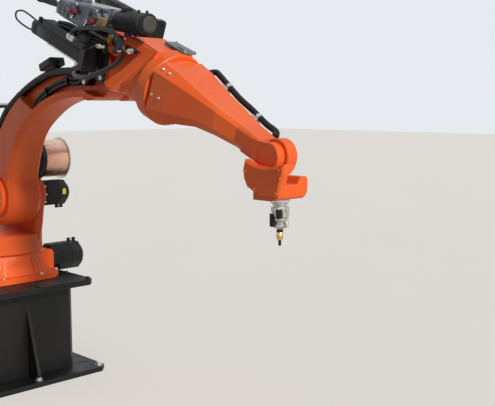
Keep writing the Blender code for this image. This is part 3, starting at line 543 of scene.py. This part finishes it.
def motors():
    """The three large servo motors: of the base, of the shoulder and of the elbow."""
    servo("base_servo", facing((0.06, 0.2803, 0.665), LEFT), "base", ["base_motor"],
          across=0.165, length=0.215, ribs=8)
    servo("shoulder_servo", TURRET @ facing((0.175, 0.1653, 0.345), LEFT), "turret", ["shoulder_motor"],
          across=0.145, length=0.170, ribs=7, label=(-0.502, 0.05, 0.80, BACK), plugs=-90.0)
    servo("elbow_servo", ELBOW @ facing((0.0, 0.2053, 0.0), LEFT), "arm_housing", ["elbow_motor"],
          across=0.125, length=0.140, ribs=6, plugs=0.0)


def plinth_fittings():
    """Floor bolts, the black top plate's bolts, the base flange bolts and the sockets behind the base."""
    floor_bolts = Shape(WORLD)
    floor_bolts.hex_bolts([(x, y, 0.03) for x in (-0.41, 0.0, 0.41) for y in (-0.41, 0.41)]
                          + [(x, 0.0, 0.03) for x in (-0.41, 0.41)], UP, 0.017)
    ledge = [(x, y) for x in (-0.265, 0.265) for y in (-0.120, 0.120)]
    ledge += [(-0.12, -0.265), (0.12, -0.265), (-0.12, 0.265), (0.19, 0.265)]
    floor_bolts.hex_bolts([(x, y, 0.6123) for x, y in ledge], UP, 0.0100)
    made("plinth_bolts", floor_bolts, STEEL, "base")
    deck_bolts = Shape(WORLD)
    deck_bolts.hex_bolts([(x, y, 0.58) for x in (-0.43, -0.2, 0.2, 0.43) for y in (-0.33, 0.33)]
                         + [(x, 0.0, 0.58) for x in (-0.43, 0.43)], UP, 0.012)
    made("deck_bolts", deck_bolts, BLACK, "base")
    sockets = Shape(WORLD)
    for y in (-0.052, 0.052):
        seat = facing((-0.325, y, 0.652), BACK)
        sockets.add(block(0.046, 0.092, 0.012, 0.002, 0.006), seat)
        sockets.add(block(0.034, 0.076, 0.040, 0.005, 0.008), seat)
        sockets.add(turned([(0.011, 0.0), (0.011, 0.016), (0.0085, 0.018), (0.0085, 0.030)], 16),
                    facing((-0.345, y, 0.614), DOWN))
    sockets.add(turned([(0.016, 0.0), (0.016, 0.010), (0.013, 0.012), (0.013, 0.024), (0.009, 0.026)], 20),
                facing((-0.325, 0.0, 0.652), BACK))
    made("base_sockets", sockets, BLACK, "base")


def turret_fittings():
    """Cap screws round the turning ring and round the shoulder gear on the outer cheek."""
    screws = Shape(TURRET)
    angles = list(range(-140, -39, 20)) + [66, 90, 114]
    screws.cap_screws(ring_places(0.228, angles, 0.120), UP, 0.0095)
    screws.cap_screws(ring_places(0.092, range(-60, 241, 30), 0.165, (0.175, 0.345), "Y"), LEFT, 0.0060)
    made("turret_screws", screws, STEEL, "turret")
    bracket = Shape(TURRET)
    bracket.hex_bolts([(-0.030, 0.1813, 0.270), (-0.005, 0.1813, 0.305)], LEFT, 0.010)
    bracket.add(turned([(0.022, 0.0), (0.022, 0.008), (0.0175, 0.010), (0.0175, 0.0145)], 6),
                facing((0.10, 0.3755, 0.545), LEFT))
    made("spool_nut", bracket, STEEL, "turret")


def spool():
    """The wound wire, ridge beside ridge, between two pressed flanges with rolled rims and hub bosses."""
    home = TURRET @ facing((0.10, 0.200, 0.545), LEFT)
    turns = np.linspace(0.0086, 0.1614, 52)
    wound = [(0.0148, turns[0])]
    for low, high in zip(turns[:-1], turns[1:]):
        wound += [(0.1105, low), (0.1122, 0.5 * (low + high))]
    wound += [(0.1105, turns[-1]), (0.0148, turns[-1])]
    made("spool_winding", Shape(home).add(turned(wound, 56)), COPPER, "wire_spool",
         ["spool_wire"], sharp=70.0)
    rim = [(0.0148, 0.0), (0.1235, 0.0), (0.1255, 0.0015), (0.1262, 0.0045), (0.1250, 0.0075),
           (0.1215, 0.0085), (0.1190, 0.0060), (0.1175, 0.0030), (0.0820, 0.0030), (0.0780, 0.0060),
           (0.0460, 0.0060), (0.0420, 0.0030), (0.0360, 0.0030), (0.0340, 0.0105), (0.0148, 0.0110)]
    for name, level, outward, finish, slot in (("inner", 0.008, DOWN, BLACK, "black_paint"),
                                               ("outer", 0.162, UP, STEEL, "grey_alloy")):
        seat = facing((0.0, 0.0, level), outward)
        made(f"spool_{name}_rim", Shape(home).add(turned(rim, 56), seat), finish, "wire_spool",
             [f"spool_{name}_flange"])


def wrist_motors():
    """Three slim motors in line with the forearm: squared bodies with grooves, end covers and round plugs."""
    screws = Shape(ELBOW)
    stator = [(0.0345, 0.0), (0.0360, 0.002), (0.0360, 0.014), (0.0335, 0.016)]
    for level in np.linspace(0.030, 0.285, 13):
        stator += [(0.0350, level - 0.006), (0.0350, level), (0.0325, level + 0.001), (0.0325, level + 0.004)]
    stator += [(0.0350, 0.292), (0.0350, 0.305), (0.0320, 0.307)]
    cover = [(0.0325, 0.300), (0.0345, 0.314), (0.0345, 0.420), (0.0325, 0.423), (0.0325, 0.428),
             (0.0345, 0.431), (0.0345, 0.466), (0.0300, 0.478), (0.0200, 0.480)]
    plug = [(0.0120, 0.0), (0.0120, 0.006), (0.0095, 0.007), (0.0095, 0.011), (0.0118, 0.012),
            (0.0118, 0.020), (0.0075, 0.023)]
    for number, (y, z) in enumerate(((-0.167, 0.100), (0.172, 0.186), (0.172, 0.270)), start=4):
        body = Shape(ELBOW)
        for profile in (stator, cover):
            body.add(turned(profile, 32, power=5.0), facing((0.10, y, z), BACK))
        for x in (-0.315, -0.352):
            spot, out = ((x, y, z + 0.033), UP) if number == 4 else ((x, y + 0.033, z), LEFT)
            body.add(turned(plug, 16), facing(spot, out, AHEAD))
        made(f"wrist_servo_a{number}", body, BLACK, "arm_housing", [f"wrist_motor_a{number}"])
        for side in (-1, 1):
            rod = course([(0.085, y + side * 0.0335, z - 0.0335), (-0.205, y + side * 0.0335, z - 0.0335)], 4)
            screws.add(swept(rod, 0.0024, 8))
        screws.cap_screws([(-0.376, y + a, z + b) for a in (-0.021, 0.021) for b in (-0.021, 0.021)],
                          BACK, 0.0038)
    made("wrist_servo_rods", screws, STEEL, "arm_housing")


def cable_loop():
    """The cable that leaves the lower right wrist motor's rear cover, turns round and goes back in."""
    route = ((-0.372, 0.121), (-0.410, 0.127), (-0.470, 0.131), (-0.535, 0.130), (-0.590, 0.108),
             (-0.588, 0.078), (-0.540, 0.066), (-0.470, 0.064), (-0.413, 0.068), (-0.372, 0.076))
    loop = course([(x, -0.167, z) for x, z in route], 90)
    cable = Shape(ELBOW).add(swept(loop, CABLE_RADIUS, 12))
    for level in (0.121, 0.076):
        cable.add(turned([(0.0105, 0.0), (0.0105, 0.010), (0.0075, 0.022)], 12),
                  facing((-0.377, -0.167, level), BACK))
    made("servo_cable_loop", cable, RUBBER, "arm_housing")


def housing_bracket():
    """Hub screws, the arched hose's holder, the carriers' covers, a cable bundle and a small bracket."""
    screws = Shape(ELBOW)
    screws.cap_screws(ring_places(0.118, range(0, 360, 30), 0.205, axis="Y"), LEFT, 0.0065)
    screws.hex_bolts([(x, y, 0.205) for x in (-0.060, 0.225) for y in (-0.105, 0.10)], UP, 0.008)
    screws.hex_bolts([(0.143, -0.1265, 0.052), (0.170, -0.1265, 0.034)], RIGHT, 0.0088)
    holder = course([(0.380, -0.108, 0.240), (0.404, -0.180, 0.243), (0.414, -0.262, 0.243)], 6)
    screws.add(swept(holder, 0.0048, 12, AHEAD))
    screws.add(turned([(0.013, -0.009), (0.013, 0.009)], 6), facing(holder[2], holder[3] - holder[2]))
    made("housing_screws", screws, STEEL, "arm_housing")
    black = Shape(ELBOW)
    ahead = facing(ORIGIN, AHEAD)
    right_cover = [(-0.215, 0.049), (-0.119, 0.049), (-0.107, 0.089), (-0.107, 0.198), (-0.136, 0.198),
                   (-0.215, 0.150)]
    left_cover = [(0.117, 0.127), (0.221, 0.127), (0.221, 0.308), (0.211, 0.318), (0.127, 0.318),
                  (0.117, 0.308)]
    for outline in (right_cover, left_cover):
        black.add(drawn(outline, [(0.0985, 0.002), (0.1000, 0.0), (0.1325, 0.0), (0.1345, 0.002)]), ahead)
    spots = ((-0.198, 0.066), (-0.130, 0.066), (-0.122, 0.180), (0.135, 0.145), (0.205, 0.145),
             (0.205, 0.300), (0.135, 0.300))
    black.hex_bolts([(0.1345, y, z) for y, z in spots], AHEAD, 0.007)
    black.add(upright([(-0.290, 0.128), (0.098, 0.128), (0.098, 0.172), (-0.262, 0.172), (-0.290, 0.150)],
                      -0.196, -0.146, 0.004), SIDE)
    bundle = course([(-0.20, -0.150, 0.168), (-0.12, -0.146, 0.184), (-0.03, -0.148, 0.188),
                     (0.06, -0.146, 0.186), (0.125, -0.138, 0.190), (0.165, -0.128, 0.186),
                     (0.185, -0.120, 0.160)], 80)
    for shift in ((0.0, 0.0, 0.0), (0.0, -0.020, -0.003), (0.0, -0.010, 0.012)):
        black.add(swept(bundle + shift, 0.0085, 12))
    black.add(upright([(0.122, 0.020), (0.190, 0.012), (0.190, 0.166), (0.122, 0.166)], -0.1265, -0.1125),
              SIDE)
    black.add(upright([(0.128, 0.010), (0.162, 0.004), (0.170, 0.058), (0.134, 0.066)], -0.123, -0.105), SIDE)
    for point, radius in ((holder[-1], 0.011), (holder[1], 0.012)):
        knob = [(radius - 0.003, -0.010), (radius, -0.007), (radius, 0.007), (radius - 0.003, 0.010)]
        black.add(turned(knob, 16), facing(point, holder[-1] - holder[-2]))
    black.add(block(0.030, 0.050, 0.052, 0.004), facing((0.205, -0.098, 0.204), UP))
    made("housing_bracket", black, BLACK, "arm_housing")


def housing_plugs():
    """Pale, yellow and blue plugs between the lower wrist motor and the feeder."""
    pale = Shape(ELBOW)
    pale.add(block(0.026, 0.020, 0.030, 0.002), facing((0.134, -0.150, 0.176), (1, 0, 0.22)))
    pale.add(block(0.018, 0.013, 0.018, 0.002), facing((0.162, -0.150, 0.182), (1, 0, 0.22)))
    made("housing_plug_pale", pale, IVORY, "arm_housing")
    yellow = Shape(ELBOW)
    yellow.add(turned([(0.009, 0.0), (0.009, 0.014), (0.006, 0.018), (0.006, 0.038)], 14),
               facing((0.165, -0.118, 0.204), UP))
    yellow.add(swept(course([(0.165, -0.118, 0.240), (0.172, -0.122, 0.262), (0.200, -0.126, 0.262),
                             (0.215, -0.118, 0.236), (0.210, -0.110, 0.225)], 40), 0.0032, 8))
    made("housing_plug_yellow", yellow, YELLOW, "arm_housing")
    blue = Shape(ELBOW)
    for place in ((0.246, -0.080, 0.2575), (0.246, -0.112, 0.204)):
        blue.add(block(0.026, 0.030, 0.046, 0.004), facing(place, UP))
    made("housing_plug_blue", blue, BLUE, "arm_housing")


def housing_covers():
    """The screwed plate on the housing's nose and the round cover beside the feeder."""
    plate = Shape(ELBOW)
    plate.add(block(0.076, 0.153, 0.0085, 0.0025, 0.010), facing((0.4695, 0.050, 0.2885), UP))
    plate.add(block(0.046, 0.060, 0.0060, 0.0020, 0.008), facing((0.500, 0.050, 0.2965), UP))
    made("housing_top_cover", plate, COVER_GREY, "arm_housing", ["cover_strip"])
    screws = Shape(ELBOW)
    screws.cap_screws([(x, y, 0.297) for x in (0.402, 0.538) for y in (0.021, 0.079)], UP, 0.0050)
    made("housing_cover_screws", screws, STEEL, "arm_housing")
    dome = Shape(ELBOW)
    dome.add(turned([(0.036, 0.0), (0.039, 0.003), (0.039, 0.024), (0.036, 0.031), (0.028, 0.037),
                     (0.016, 0.040), (0.010, 0.0405)], 32), facing((0.048, -0.168, 0.171), UP))
    made("housing_cover_dome", dome, CAST_GREY, "arm_housing")


def arched_hose():
    """A smooth hose from the swivel on the elbow's axis over the housing, with a ferrule at each end."""
    hose = course(ARCH_HOSE, 150)
    made("arch_hose", Shape(ELBOW).add(swept(hose, ARCH_RADIUS, 16, (-1.0, -1.0, 0.0))), RUBBER,
         "arm_housing", ["arched_hose"])
    ferrules = Shape(ELBOW)
    crimp = [(0.0125, 0.0), (0.0140, 0.001), (0.0140, 0.005), (0.0128, 0.006), (0.0140, 0.007),
             (0.0140, 0.011), (0.0128, 0.012), (0.0140, 0.013), (0.0140, 0.018), (0.0118, 0.020)]
    ferrules.add(turned(crimp, 18), facing((0.0, -0.1092, 0.0), RIGHT))
    ferrules.add(turned(crimp, 18), facing((0.016, -0.215, 0.1863), UP))
    ferrules.add(turned([(0.019, 0.0), (0.019, 0.008), (0.017, 0.010)], 6),
                 facing((0.016, -0.215, 0.186), UP))
    made("arch_ferrules", ferrules, BLACK, "arm_housing")


def feeder_gearbox():
    """The wire feeder's cast gearbox: a raised door with ribs on it and the mouth that holds the motor."""
    outline = np.array(FEEDER)
    middle = np.array((-0.008, 0.288))
    cast = Shape(ELBOW)
    cast.add(upright(outline, -0.184, -0.045, 0.005), SIDE)
    door = middle + (outline - middle) * (0.90, 0.86)
    cast.add(upright(door, -0.200, -0.182, 0.004), SIDE)
    cast.add(turned([(0.042, -0.080), (0.042, -0.010), (0.046, -0.008), (0.046, 0.0075)], 28), FEEDER_DRIVE)
    for x, top in ((-0.165, 0.304), (-0.125, 0.310), (-0.085, 0.316)):
        cast.add(upright([(x, 0.236), (x + 0.010, 0.236), (x + 0.010, top - 0.012), (x, top - 0.014)],
                         -0.2045, -0.198, 0.0015), SIDE)
    for x in (-0.060, 0.055):
        cast.add(upright([(x, 0.246), (x + 0.018, 0.246), (x + 0.052, 0.318), (x + 0.034, 0.324)],
                         -0.212, -0.198, 0.003), SIDE)
    cast.add(upright([(-0.120, 0.300), (0.090, 0.334), (0.088, 0.346), (-0.122, 0.312)], -0.194, -0.178),
             SIDE)
    cast.add(block(0.060, 0.070, 0.014, 0.003), facing((-0.10, -0.115, 0.3185), (-0.165, 0, 1.0)))
    made("feeder_gearbox", cast, FEEDER_CAST, "arm_housing", ["feeder_body"])


def feeder_levers():
    """The feeder's tension levers, screws, two red knobs and terminal."""
    bright = Shape(ELBOW)
    for x in (-0.036, 0.079):
        bright.add(turned([(0.0070, 0.0), (0.0070, 0.004), (0.0050, 0.005), (0.0050, 0.030), (0.0075, 0.031),
                           (0.0075, 0.036)], 12), facing((x, -0.206, 0.250), (0.42, 0.0, 0.90)))
    spots = [(-0.178, -0.200, 0.286), (-0.172, -0.200, 0.236), (0.050, -0.200, 0.236), (0.150, -0.200, 0.274),
             (0.146, -0.200, 0.340), (-0.020, -0.200, 0.322)]
    bright.cap_screws(spots, RIGHT, 0.0050)
    bright.hex_bolts([(x, -0.040, 0.2193) for x in (-0.090, 0.128)], UP, 0.0065)
    made("feeder_levers", bright, STEEL, "arm_housing")
    grip = [(0.012, -0.001), (0.012, 0.004), (0.0155, 0.006), (0.0165, 0.008), (0.0150, 0.010),
            (0.0165, 0.012), (0.0165, 0.018), (0.0135, 0.022), (0.007, 0.023), (0.006, 0.020)]
    for number, x in enumerate((-0.021, 0.126), start=1):
        made(f"feeder_grip_{number}", Shape(ELBOW).add(turned(grip, 20), facing((x, -0.2003, 0.2856), RIGHT)),
             RED, "arm_housing", [f"feeder_knob_{number}"])
    tan = Shape(ELBOW)
    tan.add(upright([(0.148, 0.268), (0.196, 0.286), (0.212, 0.326), (0.166, 0.320)], -0.203, -0.176, 0.003),
            SIDE)
    made("feeder_terminal", tan, TAN, "arm_housing")


def feeder_drive():
    """The feeder's finned motor with its dished end."""
    home = ELBOW @ FEEDER_DRIVE
    drive = [(0.040, 0.0085), (0.0455, 0.011), (0.0455, 0.024)]
    for level in np.linspace(0.030, 0.176, 15):
        drive += [(0.0475, level), (0.0475, level + 0.0045), (0.0440, level + 0.0055),
                  (0.0440, level + 0.0080)]
    drive += [(0.0475, 0.190), (0.0475, 0.228), (0.0440, 0.234), (0.0380, 0.2345), (0.0375, 0.232)]
    shell = Shape(home).add(turned(drive, 36))
    shell.add(block(0.050, 0.026, 0.016, 0.003), facing((-0.0465, 0.0, 0.060), BACK))
    for level in (0.150, 0.208):
        shell.add(turned([(0.007, -0.003), (0.007, 0.006), (0.005, 0.012)], 10),
                  facing((-0.0465, 0.0, level), BACK))
    made("feeder_drive", shell, BLACK, "arm_housing", ["feeder_motor"])
    disc = [(0.0372, 0.2300), (0.0372, 0.2335), (0.0345, 0.2350), (0.0180, 0.2350), (0.0165, 0.2338),
            (0.0070, 0.2338)]
    made("feeder_drive_end", Shape(home).add(turned(disc, 32)), CAST_GREY, "arm_housing")


def wire_inlet():
    """The corrugated liner that brings the wire to the feeder, with a nut at each end."""
    inlet = course([(-0.2053, -0.128, 0.2526), (-0.225, -0.128, 0.2526), (-0.300, -0.128, 0.2436),
                    (-0.390, -0.128, 0.2316), (-0.460, -0.128, 0.2226)], 180)
    made("wire_liner", Shape(ELBOW).add(corrugated(inlet, LINER_RADIUS, 0.0014, 6, 16)), RUBBER,
         "arm_housing", ["wire_inlet"])
    nut = Shape(ELBOW)
    nut.add(turned([(0.0215, -0.001), (0.0215, 0.012), (0.019, 0.014)], 6),
            facing((-0.205, -0.128, 0.2526), BACK))
    nut.add(turned([(0.0185, -0.018), (0.0195, -0.016), (0.0195, 0.0), (0.0170, 0.002), (0.0080, 0.002)], 20),
            facing(inlet[-1], inlet[-1] - inlet[-2]))
    made("wire_liner_nuts", nut, BLACK, "arm_housing")


def forearm_fittings():
    """The conduit with its straps, and the screws round the rear of the forearm and on its chamfers."""
    line = course(CONDUIT, 330)
    made("forearm_hose", Shape(ROLL).add(corrugated(line, CONDUIT_RADIUS, 0.0010, 4, 14)), RUBBER, "forearm",
         ["forearm_conduit"])
    metal, ends = Shape(ROLL), Shape(ROLL)
    lie = np.gradient(line, axis=0)
    for x in (0.2018, 0.4454):
        spot = int(np.abs(line[:, 0] - x).argmin())
        metal.add(turned([(0.0140, -0.0095), (0.0156, -0.0090), (0.0156, 0.0090), (0.0140, 0.0095)], 24),
                  facing(line[spot], lie[spot]))
    gland = [(0.0150, -0.022), (0.0165, -0.020), (0.0165, 0.0), (0.0130, 0.003), (0.006, 0.003)]
    for end, sign in ((0, -1.0), (-1, 1.0)):
        ends.add(turned(gland, 6), facing(line[end], sign * lie[end]))
    made("forearm_hose_ends", ends, BLACK, "forearm")
    metal.cap_screws([(0.050, -0.1375, 0.1163), (0.095, -0.1353, 0.1123)], (0, -1, 1), 0.0068)
    metal.cap_screws([(0.040, 0.1250, 0.1065), (0.062, 0.1228, 0.1042)], (0, 1, 1), 0.0068)
    metal.cap_screws([(0.040, -0.1582, 0.0), (0.085, -0.1546, 0.0)], RIGHT, 0.0060)
    made("forearm_screws", metal, STEEL, "forearm")


def wrist_fittings():
    """Screws of the wrist's head and plate and of the flange disc."""
    screws = Shape(BEND)
    screws.cap_screws(ring_places(0.055, range(0, 360, 45), 0.028, axis="Y"), LEFT, 0.0048)
    spots = [(0.060, -0.080), (0.126, -0.030), (0.136, 0.084), (0.078, 0.106), (0.046, 0.100)]
    screws.cap_screws([(x, -0.118, z) for x, z in spots], RIGHT, 0.0052)
    made("wrist_screws", screws, ORANGE, "wrist")
    ring = Shape(FLANGE)
    ring.cap_screws(ring_places(0.0345, range(20, 380, 60), 0.014, axis="X"), AHEAD, 0.0040)
    made("flange_screws", ring, STEEL, "flange")


def torch():
    """The torch holder and its breakaway body, irregular cast blocks round one line, then nozzle and tip."""
    down = facing(ORIGIN, AHEAD)

    def at(height, turn, aside):
        """A frame down the flange's axis, turned about it and moved aside."""
        place = Matrix.Translation((aside[0], aside[1], height)) @ Matrix.Rotation(math.radians(turn), 4, "Z")
        return down @ np.array(place)

    cast = Shape(FLANGE)
    cast.add(turned([(0.029, 0.0143), (0.031, 0.016), (0.031, 0.024), (0.025, 0.027), (0.025, 0.034)], 32),
             down)
    cast.add(block(0.064, 0.050, 0.022, 0.004, 0.010), at(0.033, 12.0, (0.001, 0.0)))
    cast.add(block(0.046, 0.056, 0.024, 0.005, 0.010), at(0.052, -16.0, (0.002, 0.004)))
    cast.add(turned([(0.024, 0.074), (0.030, 0.078), (0.030, 0.087), (0.022, 0.091), (0.022, 0.098),
                     (0.026, 0.101), (0.026, 0.112), (0.016, 0.122)], 28), down)
    cast.add(block(0.018, 0.018, 0.060, 0.003), at(0.044, 30.0, (0.026, 0.010)))
    cast.add(block(0.014, 0.030, 0.018, 0.003), at(0.096, 20.0, (0.010, 0.022)))
    made("torch_holder", cast, ALLOY, "flange", ["torch_mount", "torch_body"])
    black = Shape(FLANGE)
    for height, turn, aside in ((0.088, 8.0, (0.028, -0.010)), (0.078, -20.0, (-0.028, -0.012)),
                                (0.040, 0.0, (-0.026, 0.020)), (0.060, 35.0, (-0.022, -0.020))):
        black.add(block(0.022, 0.024, 0.034, 0.004, 0.007), at(height, turn, aside))
    black.add(turned([(0.0105, 0.124), (0.0135, 0.126), (0.0135, 0.134), (0.0115, 0.136)], 20), down)
    black.add(turned([(0.0060, 0.1650), (0.0060, 0.1860), (0.0045, 0.1900)], 16), down)
    made("torch_grips", black, BLACK, "flange", ["torch_tip"])
    screws = Shape(FLANGE)
    screws.cap_screws([(0.044, -0.0262, 0.014), (0.044, -0.0262, -0.014), (0.064, -0.0245, 0.004)], RIGHT,
                      0.0044)
    screws.cap_screws([(0.043, 0.006, 0.0312), (0.064, -0.004, 0.0285)], UP, 0.0044)
    made("torch_screws", screws, STEEL, "flange")
    nozzle = [(0.0125, 0.1345), (0.0140, 0.137), (0.0140, 0.152), (0.0128, 0.153), (0.0128, 0.160),
              (0.0110, 0.165), (0.0085, 0.165), (0.0080, 0.150)]
    made("torch_gas_nozzle", Shape(FLANGE).add(turned(nozzle, 28), down), BRASS, "flange",
         ["torch_nozzle"])


def build_pieces():
    """Adds all the detailed pieces."""
    link_hoses()
    link_fittings()
    motors()
    plinth_fittings()
    turret_fittings()
    spool()
    wrist_motors()
    cable_loop()
    housing_bracket()
    housing_plugs()
    housing_covers()
    arched_hose()
    feeder_gearbox()
    feeder_levers()
    feeder_drive()
    wire_inlet()
    forearm_fittings()
    wrist_fittings()
    torch()


def finish_cad_nodes():
    """Gives each CAD node the finish of the slot that the part's source painted it with."""
    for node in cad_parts.values():
        for slot in node.material_slots:
            name = slot.material.name.split(".")[0] if slot.material else "orange_paint"
            slot.material = FINISHES.get(name, ORANGE)


def seen_rays(start):
    """1 for the rays that show the background: of the camera, of reflections and through clear material.

    They are Is Camera Ray, Is Glossy Ray and Is Transmission Ray of the Light Path node. All other rays get 0
    and carry the weak light of the sky alone.
    """
    camera, glossy, passing = (start.node("LightPath", output=output) for output in (0, 3, 6))
    return start.maths("ADD", camera + glossy, passing, clamp=True)


def add_floor():
    """A pale level floor that keeps the part's shadow."""
    bpy.ops.mesh.primitive_plane_add(size=FLOOR_SIZE)
    floor = bpy.context.object
    floor.name = "floor"
    finish, start, place, shader = material("floor", 0.9)
    cloudy = start.tint(start.noise(place, 0.8, 3.0), (0.92, 0.91, 0.89), (0.97, 0.96, 0.94))
    feed(shader, "Base Color", start.tint(seen_rays(start), FLOOR_LIGHT, cloudy))
    glow = start.tint(seen_rays(start) * FLOOR_GLOW, (0.0, 0.0, 0.0), (1.0, 0.98, 0.95))
    feed(shader, "Emission Color", glow)
    shader.inputs["Emission Strength"].default_value = 1.0
    floor.data.materials.append(finish)


def add_sun():
    """One wide soft sun lamp from the front right."""
    data = bpy.data.lights.new("key", "SUN")
    data.energy, data.color, data.angle = SUN_POWER, SUN_COLOUR, SUN_WIDTH
    key = bpy.data.objects.new("key", data)
    bpy.context.scene.collection.objects.link(key)
    key.rotation_euler = Vector(SUN_FROM).to_track_quat("Z", "Y").to_euler()


def add_sky():
    """A weak sky that fills the shadows, and a pale one where the background is seen."""
    world = bpy.data.worlds.new("studio")
    bpy.context.scene.world = world
    world.use_nodes = True
    tree = world.node_tree
    tree.nodes.clear()
    start = Value(tree)
    seen = seen_rays(start)
    sky = start.tint(seen, SKY_LIGHT, SKY_SEEN)
    light = start.node("Background", None, {"Color": sky, "Strength": SKY_POWER + (1.0 - SKY_POWER) * seen})
    out = tree.nodes.new("ShaderNodeOutputWorld")
    tree.links.new(light.socket, out.inputs["Surface"])


def add_camera():
    """The photograph's camera."""
    data = bpy.data.cameras.new("camera")
    data.lens, data.sensor_width = LENS, SENSOR
    data.clip_end = FARTHEST
    camera = bpy.data.objects.new("camera", data)
    bpy.context.scene.collection.objects.link(camera)
    camera.location = CAMERA_PLACE
    level = math.cos(CAMERA_PITCH)
    look = Vector((CAMERA_HEADING[0] * level, CAMERA_HEADING[1] * level, -math.sin(CAMERA_PITCH)))
    camera.rotation_euler = look.to_track_quat("-Z", "Y").to_euler()
    bpy.context.scene.camera = camera
    bpy.context.scene.view_settings.view_transform = "Standard"


finish_cad_nodes()
build_pieces()
add_floor()
add_sun()
add_sky()
add_camera()
